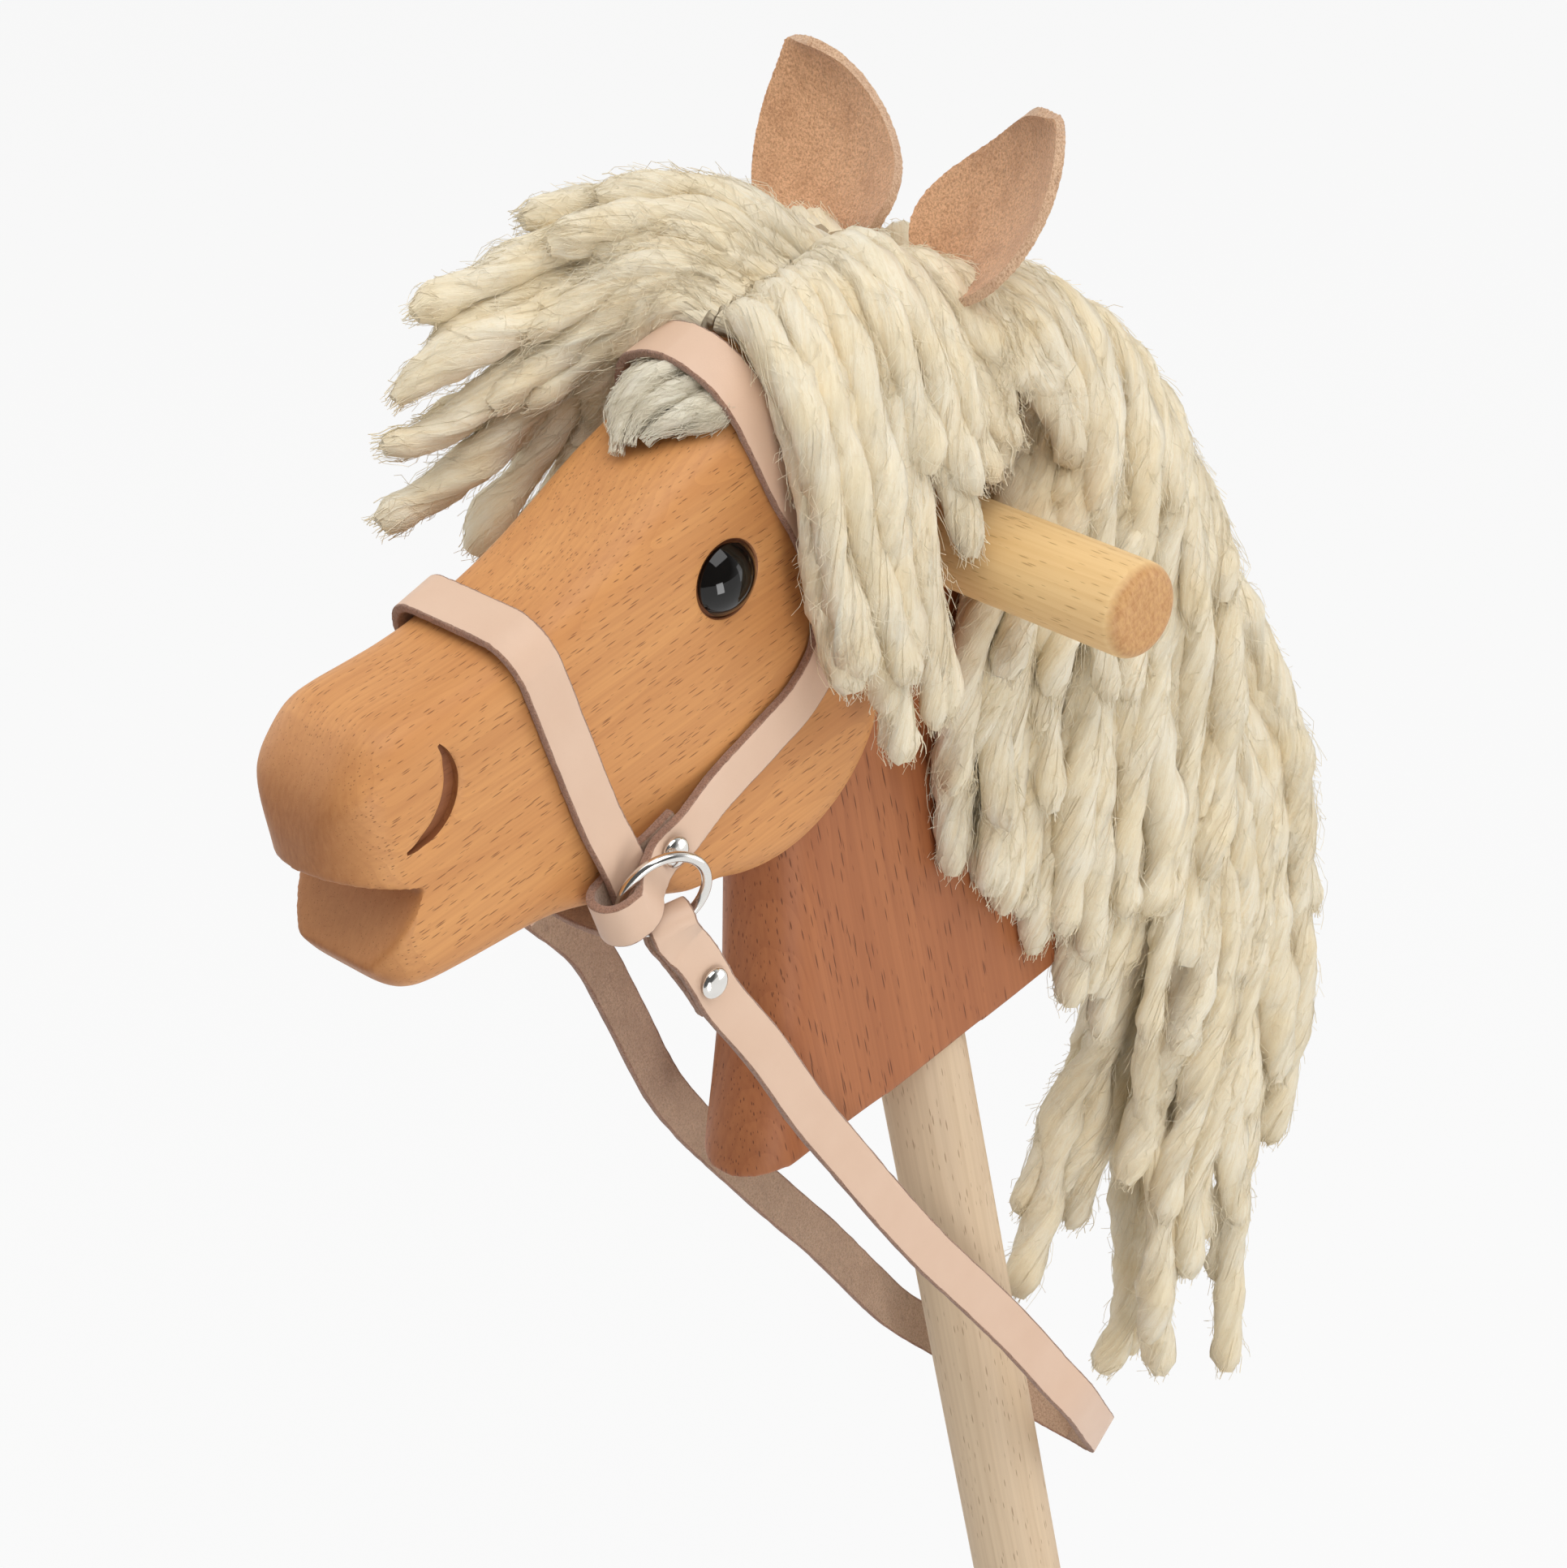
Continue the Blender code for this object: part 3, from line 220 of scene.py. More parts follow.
def calc(tree, operation, first, second=0.0, clamp=False):
    made = addNode(tree, "ShaderNodeMath", operation=operation, use_clamp=clamp)
    for index, value in ((0, first), (1, second)):
        if isinstance(value, bpy.types.NodeSocket):
            tree.links.new(value, made.inputs[index])
        else:
            made.inputs[index].default_value = value
    return made.outputs[0]


def plus(tree, first, second):
    return calc(tree, "ADD", first, second)


def minus(tree, first, second, clamp=False):
    return calc(tree, "SUBTRACT", first, second, clamp)


def times(tree, first, second, clamp=False):
    return calc(tree, "MULTIPLY", first, second, clamp)


def mapRange(tree, value, low, high, toLow=0.0, toHigh=1.0):
    made = addNode(tree, "ShaderNodeMapRange", {1: low, 2: high, 3: toLow, 4: toHigh})
    tree.links.new(value, made.inputs[0])
    return made.outputs[0]


def stretchedNoise(tree, place, stretch, detail=3.0, roughness=0.5):
    # Noise with its own scale along each direction
    scaled = addNode(tree, "ShaderNodeVectorMath", {1: stretch}, operation="MULTIPLY")
    made = addNode(tree, "ShaderNodeTexNoise", {"Scale": 1.0, "Detail": detail, "Roughness": roughness})
    join(tree, (place, scaled.inputs[0]), (scaled.outputs[0], made.inputs["Vector"]))
    return made.outputs["Fac"]


def newMaterial(name, roughness, metallic=0.0, **sockets):
    # A material with its Principled shader and the object's own coordinates
    material = bpy.data.materials.new(name)
    material.use_nodes = True
    tree = material.node_tree
    shader = tree.nodes["Principled BSDF"]
    shader.inputs["Roughness"].default_value = roughness
    shader.inputs["Metallic"].default_value = metallic
    for key, value in sockets.items():
        shader.inputs[key.replace("_", " ")].default_value = value
    place = addNode(tree, "ShaderNodeTexCoord").outputs["Object"]
    return material, tree, shader, place


def bumped(tree, shader, height, strength, distance):
    bump = addNode(tree, "ShaderNodeBump", {"Strength": strength, "Distance": distance})
    join(tree, (height, bump.inputs["Height"]), (bump.outputs[0], shader.inputs["Normal"]))


def addInputs(tree, rows):
    for name, kind, value in rows:
        socket = tree.interface.new_socket(name, in_out="INPUT", socket_type="NodeSocket" + kind)
        if value is not None:
            socket.default_value = value


def makeGrainGroup():
    # Growth rings about an axis along Z, short dark flecks along it, and fine pores
    group = bpy.data.node_groups.new("beechGrain", "ShaderNodeTree")
    addInputs(group, (("Place", "Vector", None), ("Ring Width", "Float", 0.003),
                      ("Fleck Gap", "Float", 0.0013), ("Fleck Length", "Float", 0.009),
                      ("Fleck Size", "Float", 0.14)))
    for name in ("Rings", "Flecks", "Cloud", "Height"):
        group.interface.new_socket(name, in_out="OUTPUT", socket_type="NodeSocketFloat")
    source = addNode(group, "NodeGroupInput")
    place = source.outputs["Place"]

    warp = stretchedNoise(group, place, (38, 38, 7), detail=2)
    split = addNode(group, "ShaderNodeSeparateXYZ")
    join(group, (place, split.inputs[0]))
    across = times(group, split.outputs[0], split.outputs[0])
    across = plus(group, across, times(group, split.outputs[1], split.outputs[1]))
    radius = calc(group, "SQRT", across)
    radius = plus(group, radius, times(group, warp, 0.010))
    rings = calc(group, "FRACT", calc(group, "DIVIDE", radius, source.outputs["Ring Width"]))
    rings = calc(group, "POWER", rings, 2.2)

    gap = calc(group, "DIVIDE", 1.0, source.outputs["Fleck Gap"])
    run = calc(group, "DIVIDE", 1.0, source.outputs["Fleck Length"])
    stretch = addNode(group, "ShaderNodeCombineXYZ")
    scaled = addNode(group, "ShaderNodeVectorMath", operation="MULTIPLY")
    cells = addNode(group, "ShaderNodeTexVoronoi", {"Scale": 1.0, "Randomness": 1.0})
    join(group, (gap, stretch.inputs[0]), (gap, stretch.inputs[1]), (run, stretch.inputs[2]),
         (place, scaled.inputs[0]), (stretch.outputs[0], scaled.inputs[1]),
         (scaled.outputs[0], cells.inputs["Vector"]))
    chance = addNode(group, "ShaderNodeSeparateColor")
    join(group, (cells.outputs["Color"], chance.inputs[0]))
    size = times(group, source.outputs["Fleck Size"], plus(group, chance.outputs[0], 0.6))
    flecks = calc(group, "DIVIDE", cells.outputs["Distance"], size)
    flecks = minus(group, 1.0, flecks, clamp=True)
    flecks = times(group, flecks, 2.2, clamp=True)

    cloud = stretchedNoise(group, place, (75, 75, 4), detail=2)
    pores = stretchedNoise(group, place, (2600, 2600, 160), detail=2, roughness=0.6)
    height = minus(group, times(group, pores, 0.5), flecks)
    target = addNode(group, "NodeGroupOutput")
    join(group, (rings, target.inputs["Rings"]), (flecks, target.inputs["Flecks"]),
         (cloud, target.inputs["Cloud"]), (height, target.inputs["Height"]))
    return group


grainGroup = makeGrainGroup()
beechFinish = {"roughness": 0.52, "specular": 0.38, "streaks": (900, 900, 9), "streakShare": 0.40,
               "sheen": (0.50, 0.66), "bump": 0.35, "bumpDepth": 0.00012}


def makeBeech(name, wood):
    # Beech in its own tones, its grain axis laid by a mapping
    material, tree, shader, place = newMaterial(name, beechFinish["roughness"],
                                                Specular_IOR_Level=beechFinish["specular"])
    facing = addNode(tree, "ShaderNodeTexCoord").outputs["Normal"]  # tells end grain from long grain
    mapping = addNode(tree, "ShaderNodeMapping", {"Location": wood["pith"], "Rotation": wood["turn"]})
    grain = addNode(tree, "ShaderNodeGroup", node_tree=grainGroup)
    for socket, key in (("Ring Width", "ring"), ("Fleck Gap", "fleckGap"), ("Fleck Length", "fleckLength"),
                        ("Fleck Size", "fleckSize")):
        grain.inputs[socket].default_value = wood[key]
    join(tree, (place, mapping.inputs["Vector"]), (mapping.outputs[0], grain.inputs["Place"]))
    streak = stretchedNoise(tree, mapping.outputs[0], beechFinish["streaks"], detail=3)
    colour = mixColour(tree, mapRange(tree, grain.outputs["Cloud"], 0.30, 0.72, 0.0, wood["clouds"]),
                       wood["light"], wood["deep"])
    flecks = times(tree, grain.outputs["Flecks"], wood["fleckStrength"])
    if "endGrain" in wood:
        cut = wood["endGrain"]
        across = addNode(tree, "ShaderNodeVectorMath", {1: cut["towards"]}, operation="DOT_PRODUCT")
        join(tree, (facing, across.inputs[0]))
        reach = mapRange(tree, calc(tree, "ABSOLUTE", across.outputs["Value"]), cut["from"], cut["to"])
        rays = stretchedNoise(tree, place, cut["rays"], detail=3, roughness=0.65)
        face = mixColour(tree, mapRange(tree, rays, 0.35, 0.65), cut["light"], cut["deep"])
        colour = mixColour(tree, reach, colour, face)
        flecks = times(tree, flecks, minus(tree, 1.0, reach))
    rings = times(tree, grain.outputs["Rings"], wood["ringStrength"])
    colour = mixColour(tree, rings, colour, wood["late"])
    streak = mapRange(tree, streak, 0.42, 0.75, 0.0, beechFinish["streakShare"])
    colour = mixColour(tree, streak, colour, wood["late"])
    colour = mixColour(tree, flecks, colour, wood["fleck"])
    rough = mapRange(tree, grain.outputs["Flecks"], 0, 1, *beechFinish["sheen"])
    join(tree, (colour, shader.inputs["Base Color"]), (rough, shader.inputs["Roughness"]))
    bumped(tree, shader, grain.outputs["Height"], beechFinish["bump"], beechFinish["bumpDepth"])
    return material


quarter = math.pi / 2
headWood = {"light": (0.69, 0.332, 0.116), "deep": (0.57, 0.240, 0.077), "late": (0.47, 0.185, 0.062),
            "clouds": 0.7, "fleck": (0.17, 0.055, 0.020), "ring": 0.0017, "ringStrength": 0.26,
            "fleckGap": 0.0006, "fleckLength": 0.0058, "fleckSize": 0.21, "fleckStrength": 0.70,
            "pith": (0.100, 0.770, 0.0), "turn": (quarter, 0, 0),
            "endGrain": {"towards": (0, 1, 0), "from": 0.45, "to": 0.95, "rays": (900, 500, 250),
                         "light": (0.44, 0.185, 0.068), "deep": (0.36, 0.135, 0.046)}}
neckWood = {"light": (0.455, 0.166, 0.060), "deep": (0.365, 0.118, 0.040), "late": (0.27, 0.080, 0.028),
            "clouds": 0.8, "fleck": (0.10, 0.028, 0.012), "ring": 0.0026, "ringStrength": 0.25,
            "fleckGap": 0.0007, "fleckLength": 0.0105, "fleckSize": 0.21, "fleckStrength": 0.8,
            "pith": (0.070, -0.03, 0.0), "turn": (0, 0, 0)}
# Painted shade: a darker beech for the faces cut inside the nostril grooves and eye sockets
grooveShadeWood = dict(headWood, light=(0.30, 0.110, 0.042), deep=(0.22, 0.075, 0.028), late=(0.17, 0.055, 0.020))
gripWood = {"light": (0.90, 0.64, 0.325), "deep": (0.80, 0.53, 0.235), "late": (0.70, 0.42, 0.16),
            "clouds": 0.8, "fleck": (0.42, 0.22, 0.08), "ring": 0.0022, "ringStrength": 0.25,
            "fleckGap": 0.0008, "fleckLength": 0.0080, "fleckSize": 0.19, "fleckStrength": 0.6,
            "pith": (0.735, -0.035, 0.0), "turn": (0, -quarter, 0),
            "endGrain": {"towards": (1, 0, 0), "from": 0.25, "to": 0.75, "rays": (300, 1100, 500),
                         "light": (0.62, 0.345, 0.150), "deep": (0.48, 0.225, 0.080)}}
stickWood = {"light": (0.74, 0.575, 0.395), "deep": (0.66, 0.490, 0.325), "late": (0.56, 0.40, 0.255),
             "clouds": 0.8, "fleck": (0.34, 0.21, 0.12), "ring": 0.0024, "ringStrength": 0.25,
             "fleckGap": 0.0009, "fleckLength": 0.0085, "fleckSize": 0.19, "fleckStrength": 0.65,
             "pith": (0.03, 0.02, 0.0), "turn": (0, 0, 0)}
headBeech = makeBeech("headBeech", headWood)
neckBeech = makeBeech("neckBeech", neckWood)
gripBeech = makeBeech("gripBeech", gripWood)
stickBeech = makeBeech("stickBeech", stickWood)
cutBeech = makeBeech("cutBeech", grooveShadeWood)
print("wood materials made")


def makeSmoothLeather(name, light, deep):
    # Vegetable tanned grain side: even colour with faint clouds, fine pores and small marks
    material, tree, shader, place = newMaterial(name, 0.48, Sheen_Weight=0.1)
    clouds = stretchedNoise(tree, place, (60, 60, 60), detail=4)
    pores = stretchedNoise(tree, place, (2400, 2400, 2400), detail=3, roughness=0.65)
    colour = mixColour(tree, clouds, light, deep)
    colour = mixColour(tree, mapRange(tree, pores, 0.62, 0.8, 0, 0.3), colour, [c * 0.7 for c in deep])
    rough = mapRange(tree, clouds, 0.3, 0.7, 0.42, 0.56)
    join(tree, (colour, shader.inputs["Base Color"]), (rough, shader.inputs["Roughness"]))
    bumped(tree, shader, pores, 0.25, 0.00015)
    return material


def makeSuede(name, light, deep, grain):
    # Flesh side: a rough nap in two tones, with worn clouds and a few dark scars
    material, tree, shader, place = newMaterial(name, 0.95, Sheen_Weight=0.35)
    nap = stretchedNoise(tree, place, (grain, grain, grain * 0.7), detail=5, roughness=0.75)
    clouds = stretchedNoise(tree, place, (160, 160, 110), detail=4, roughness=0.6)
    scars = stretchedNoise(tree, place, (420, 420, 90), detail=4, roughness=0.7)
    colour = mixColour(tree, mapRange(tree, nap, 0.36, 0.58), deep, light)
    colour = mixColour(tree, mapRange(tree, clouds, 0.45, 0.75, 0, 0.55), colour, deep)
    colour = mixColour(tree, mapRange(tree, scars, 0.60, 0.72, 0, 0.45), colour, [c * 0.6 for c in deep])
    join(tree, (colour, shader.inputs["Base Color"]))
    bumped(tree, shader, nap, 0.9, 0.0006)
    return material


strapSmooth = makeSmoothLeather("strapSmooth", (0.755, 0.535, 0.395), (0.69, 0.465, 0.33))
strapSuede = makeSuede("strapSuede", (0.64, 0.43, 0.29), (0.42, 0.25, 0.155), 2000)
strapCut = makeSuede("strapCut", (0.52, 0.29, 0.19), (0.25, 0.110, 0.065), 2200)
earSmooth = makeSmoothLeather("earSmooth", (0.76, 0.50, 0.29), (0.71, 0.43, 0.235))
earSuede = makeSuede("earSuede", (0.90, 0.53, 0.295), (0.52, 0.245, 0.115), 1900)
earCut = makeSuede("earCut", (0.90, 0.62, 0.40), (0.55, 0.28, 0.15), 2200)


def makeHard(name, base, sockets, stretch, detail, worn, shine, light, deep):
    # Fine marks vary the polish and the colour of a hard surface
    material, tree, shader, place = newMaterial(name, *base, **sockets)
    marks = stretchedNoise(tree, place, (stretch[0], stretch[0], stretch[1]), detail=detail)
    join(tree, (mapRange(tree, marks, *worn, *shine), shader.inputs["Roughness"]),
         (mixColour(tree, marks, light, deep), shader.inputs["Base Color"]))
    return material


def makeBackingCloth():
    material, tree, shader, place = newMaterial("backingCloth", 0.9, Sheen_Weight=0.2)
    threads = addNode(tree, "ShaderNodeTexWave", {"Scale": 300.0, "Distortion": 1.5}, bands_direction="Y")
    weft = addNode(tree, "ShaderNodeTexWave", {"Scale": 300.0, "Distortion": 1.5}, bands_direction="X")
    join(tree, (place, threads.inputs["Vector"]), (place, weft.inputs["Vector"]))
    weave = times(tree, threads.outputs["Fac"], weft.outputs["Fac"])
    join(tree, (mixColour(tree, weave, (0.62, 0.56, 0.42), (0.82, 0.78, 0.64)),
                shader.inputs["Base Color"]))
    bumped(tree, shader, weave, 0.5, 0.0003)
    return material


# Scales of the noise along the fibres, and how strongly each darkens the wool: painted shade in the troughs
# of the clumps and fibres, and the darker hairs' own tone
woolLook = {"matting": 420.0, "matted": (0.7, 2.6, 2.6), "fibreScale": 1.3, "clumpScale": 0.40,
            "clumpShade": 0.45, "fibreShade": 0.38, "hairShade": 0.8, "bump": 0.60, "bumpDepth": 0.0009}


def makeWool(name, light, deep, shadeAndDarkHairs):
    # Carded wool: pale fibres with yellower and browner ones among them, read from the yarn itself, and
    # painted shade in the troughs of its clumps and fibres
    material, tree, shader, place = newMaterial(name, 0.95, Sheen_Weight=0.3, Sheen_Roughness=0.6)
    tone = addNode(tree, "ShaderNodeAttribute", attribute_name="tone").outputs["Fac"]
    lay = addNode(tree, "ShaderNodeAttribute", attribute_name="lay").outputs["Vector"]
    bent = addNode(tree, "ShaderNodeTexNoise", {"Scale": woolLook["matting"], "Detail": 2.0})
    spread = addNode(tree, "ShaderNodeVectorMath", {1: woolLook["matted"]}, operation="MULTIPLY")
    matted = addNode(tree, "ShaderNodeVectorMath", operation="ADD")
    fibres = addNode(tree, "ShaderNodeTexNoise",
                     {"Scale": woolLook["fibreScale"], "Detail": 6.0, "Roughness": 0.68})
    clumps = addNode(tree, "ShaderNodeTexNoise",
                     {"Scale": woolLook["clumpScale"], "Detail": 3.0, "Roughness": 0.55})
    join(tree, (place, bent.inputs["Vector"]), (bent.outputs["Color"], spread.inputs[0]),
         (lay, matted.inputs[0]), (spread.outputs[0], matted.inputs[1]),
         (matted.outputs[0], fibres.inputs["Vector"]), (matted.outputs[0], clumps.inputs["Vector"]))
    clouds = stretchedNoise(tree, place, (70, 70, 70), detail=3)
    colour = mixColour(tree, mapRange(tree, clouds, 0.35, 0.68), light, deep)
    # Painted shade in the troughs of the clumps and fibres, then the darker hairs' own tone
    for source, low, high, share in ((clumps.outputs["Fac"], 0.52, 0.34, woolLook["clumpShade"]),
                                     (fibres.outputs["Fac"], 0.52, 0.36, woolLook["fibreShade"]),
                                     (tone, 0.80, 1.0, woolLook["hairShade"])):
        colour = mixColour(tree, mapRange(tree, source, low, high, 0.0, share), colour, shadeAndDarkHairs)
    join(tree, (colour, shader.inputs["Base Color"]))
    height = plus(tree, clumps.outputs["Fac"], fibres.outputs["Fac"])
    bumped(tree, shader, height, woolLook["bump"], woolLook["bumpDepth"])
    return material


nickel = makeHard("nickelPlate", (0.16, 1.0), {}, (260, 260), 5, (0.3, 0.7), (0.10, 0.24),
                  (0.82, 0.80, 0.76), (0.72, 0.70, 0.67))
steel = makeHard("plainSteel", (0.35, 1.0), {}, (500, 60), 4, (0.3, 0.7), (0.28, 0.45),
                 (0.62, 0.61, 0.60), (0.52, 0.51, 0.50))
eyeBlack = makeHard("eyeBlack", (0.06, 0.0), {"Specular_IOR_Level": 0.4}, (700, 700), 3, (0.4, 0.8),
                    (0.03, 0.09), (0.0035, 0.003, 0.003), (0.006, 0.005, 0.004))
backingCloth = makeBackingCloth()
# Each wool's third colour is painted shade for the troughs, and also the tone of its darker hairs
creamWool = makeWool("creamWool", (0.97, 0.885, 0.70), (0.95, 0.82, 0.57), (0.84, 0.67, 0.41))
greyWool = makeWool("greyWool", (0.94, 0.885, 0.73), (0.87, 0.79, 0.61), (0.62, 0.52, 0.37))
print("leather, metal and wool materials made")


# Woodwork
def sandedCopy(name, node, voxel, passes, material, keep):
    # A node's solid remeshed finely and sanded; keep(point) gives the share of sanding at a point
    bm = bmesh.new()
    bm.from_mesh(nodes[node].data)
    bmesh.ops.remove_doubles(bm, verts=bm.verts, dist=0.00001)
    piece = newPiece(name, meshFrom(name, bm, turnOut=False), material)
    fine = piece.modifiers.new("Fine", "REMESH")
    fine.mode = "VOXEL"
    fine.voxel_size = voxel
    piece = baked(piece)
    piece.data.materials.clear()
    piece.data.materials.append(material)
    share = piece.vertex_groups.new(name="Sanding")
    for vertex in piece.data.vertices:
        share.add([vertex.index], keep(vertex.co), "REPLACE")
    eased = piece.modifiers.new("Eased", "SMOOTH")
    eased.factor = 0.5
    eased.iterations = passes
    eased.vertex_group = share.name
    piece = baked(piece)
    piece.vertex_groups.clear()
    piece.data.shade_smooth()
    return piece


def carved(piece, cutters):
    # The piece with cutters taken out of it
    for cutter in cutters:
        cut = piece.modifiers.new("Cut", "BOOLEAN")
        cut.object = cutter
        cut.operation = "DIFFERENCE"
        cut.material_mode = "TRANSFER"
    piece = baked(piece)
    for cutter in cutters:
        bpy.data.objects.remove(cutter)
    smoothed(piece.data, 38)
    return piece


def prism(name, outline, x0, x1, material):
    # A straight block between the planes x0 and x1 with a (y, z) outline
    bm = bmesh.new()
    near = [bm.verts.new((x0, y, z)) for y, z in outline]
    far = [bm.verts.new((x1, y, z)) for y, z in outline]
    bm.faces.new(near)
    bm.faces.new(far)
    for i in range(len(outline)):
        j = (i + 1) % len(outline)
        bm.faces.new((near[i], near[j], far[j], far[i]))
    return newPiece(name, meshFrom(name, bm), material)


muzzle = {"mouthCorner": (-0.1505, 0.1825 + datum), "mouthUpper": 26, "mouthLower": 46,  # angles in degrees
          "mouthFront": -0.120,
          "nostril": [(-0.1375, 0.2140), (-0.1358, 0.2090), (-0.1360, 0.2035), (-0.1385, 0.1985),
                      (-0.1425, 0.1950), (-0.1475, 0.1934), (-0.1530, 0.1937)],
          "nostrilWidth": 0.0036, "nostrilEnd": 0.0004, "nostrilDepth": 0.0027, "socket": 0.0097,
          "socketFlare": 0.0008, "socketDepth": 0.0016, "cutOver": 0.004}
eyeShape = {"radius": 0.009, "rise": 0.0045, "y": -0.048, "z": 0.205 + datum, "face": 0.020, "stem": 0.0025,
            "depth": 0.008, "seat": 0.0012}
sanding = {"headVoxel": 0.00095, "headPasses": 42, "neckVoxel": 0.00105, "neckPasses": 30, "edge": 0.0030,
           "neckFront": 0.025, "neckBlend": 0.02, "neckTouch": 0.12}


def headSanding(point):
    # Full sanding, but little at the mouth's edges, which stay crisp
    cornerY, cornerZ = muzzle["mouthCorner"]
    if point.y > muzzle["mouthFront"]:
        return 1.0
    run = cornerY - point.y
    if run < 0:
        away = math.hypot(run, point.z - cornerZ)
    else:
        upper = abs(point.z - cornerZ - run * math.tan(math.radians(muzzle["mouthUpper"])))
        lower = abs(point.z - cornerZ + run * math.tan(math.radians(muzzle["mouthLower"])))
        away = min(upper, lower)
    return min(max(away / sanding["edge"] - 0.5, 0.08), 1.0)


def neckSanding(point):
    # Full sanding on the rounded front edge, a light touch elsewhere
    return min(max((-point.y - sanding["neckFront"]) / sanding["neckBlend"], sanding["neckTouch"]), 1.0)


head = sandedCopy("headWood", "head_block", sanding["headVoxel"], sanding["headPasses"], headBeech,
                  headSanding)
line = smoothLine([(0, y, z + datum) for y, z in muzzle["nostril"]], 5)
outer, inner = [], []
for i, (point, tangent) in enumerate(zip(line, tangentsOf(line))):
    half = muzzle["nostrilEnd"] + muzzle["nostrilWidth"] / 2 * math.sin(math.pi * i / (len(line) - 1))
    aside = Vector((0, -tangent.z, tangent.y)) * half
    outer.append(((point + aside).y, (point + aside).z))
    inner.append(((point - aside).y, (point - aside).z))
crescent = outer + list(reversed(inner))
e, m = eyeShape, muzzle
socket = [(0, m["cutOver"]), (m["socket"] + m["socketFlare"], m["cutOver"]),
          (m["socket"] + m["socketFlare"] / 2, -0.0003), (m["socket"], -m["socketFlare"]),
          (m["socket"], -m["socketDepth"]), (0, -m["socketDepth"])]
# The cutters leave beech with painted shade on the faces that they cut
cutters = []
for side, sign in sides:
    cutters.append(prism(f"nostrilCut_{side}", crescent, sign * (e["face"] - m["nostrilDepth"]),
                         sign * (e["face"] + 0.005), cutBeech))
    cutters.append(turnedPiece(f"socketCut_{side}", socket, (sign * e["face"], e["y"], e["z"]), (sign, 0, 0),
                               cutBeech, 72))
head = carved(head, cutters)
stand(head, "horse", "head_beech", "head_block")
neck = sandedCopy("neckWood", "neck_block", sanding["neckVoxel"], sanding["neckPasses"], neckBeech,
                  neckSanding)
stand(neck, "horse", "red_beech", "neck_block")

stickShape = {"radius": 0.0125, "foot": 0.0, "top": 0.6245, "tenonRadius": 0.0080, "tenonTop": 0.6851,
              "chamfer": 0.002, "edge": 0.0006}
s = stickShape
stick = turnedPiece("stickRod", [
    (0, s["tenonTop"]), (s["tenonRadius"] - 0.001, s["tenonTop"]), (s["tenonRadius"], s["tenonTop"] - 0.001),
    (s["tenonRadius"], s["top"]), (s["radius"] - s["edge"], s["top"]), (s["radius"], s["top"] - s["edge"]),
    (s["radius"], s["chamfer"] + s["edge"]), (s["radius"] - s["edge"] / 2, s["chamfer"]),
    (s["radius"] - s["chamfer"], s["foot"]), (0, s["foot"])], (0, 0, 0), (0, 0, 1), stickBeech, 96)
stand(stick, "horse", "pale_beech", "stick")

gripShape = {"radius": 0.0121, "half": 0.0815, "round": 0.0040, "y": 0.0248, "z": 0.1735 + datum}
g = gripShape
corner = [(g["radius"] - g["round"] + g["round"] * math.sin(math.radians(a)),
           g["half"] - g["round"] + g["round"] * math.cos(math.radians(a))) for a in range(0, 91, 10)]
profile = [(0, g["half"])] + corner + [(r, -h) for r, h in reversed(corner)] + [(0, -g["half"])]
grip = turnedPiece("gripHandle", profile, (0, g["y"], g["z"]), (1, 0, 0), gripBeech, 96)
stand(grip, "horse", "grip_beech", "grip_bar")
print("woodwork done")

# Eyes
ball = (e["radius"] ** 2 + e["rise"] ** 2) / (2 * e["rise"])
sweep = math.asin(e["radius"] / ball)
angles = [sweep * i / 16 for i in range(17)]
dome = [(ball * math.sin(a), e["rise"] - ball * (1 - math.cos(a))) for a in angles]
back = [(e["radius"] - 0.0003, -0.0006), (e["radius"] - 0.0003, -e["seat"]), (e["stem"], -e["seat"]),
        (e["stem"], -e["depth"]), (0, -e["depth"])]
for side, sign in sides:
    eye = turnedPiece(f"eyeDome_{side}", dome + back, (sign * e["face"], e["y"], e["z"]), (sign, 0, 0),
                      eyeBlack, 72)
    stand(eye, "horse", "eye_black", f"eye_{side}")
print("eyes done")

# Straps
strapShape = {"width": 0.012, "thickness": 0.0023, "corner": 0.0005, "ragged": 0.00016, "edgeBand": 0.0008,
              "raggedScales": (900, 2600)}


def strapSection():
    # Corner points (across, up) of the strap's section with the kind of face that follows each
    half, thick, r = strapShape["width"] / 2, strapShape["thickness"] / 2, strapShape["corner"]
    smooth, suede, cut = range(3)
    section = []
    for cx, cy, start, sign, kind in (
            (half - r, thick - r, 0, 1, smooth), (-half + r, thick - r, 90, -1, cut),
            (-half + r, -thick + r, 180, -1, suede), (half - r, -thick + r, 270, 1, cut)):
        for a in (0, 30, 60, 90):
            angle = math.radians(start + a)
            section.append((cx + r * math.cos(angle), cy + r * math.sin(angle), kind if a == 90 else cut))
        if kind == cut:
            section.append((sign * half, 0, cut))
        else:
            section += [(sign * share * (half - r), sign * thick, kind) for share in (0.6, 0.2, -0.2, -0.6)]
    return section


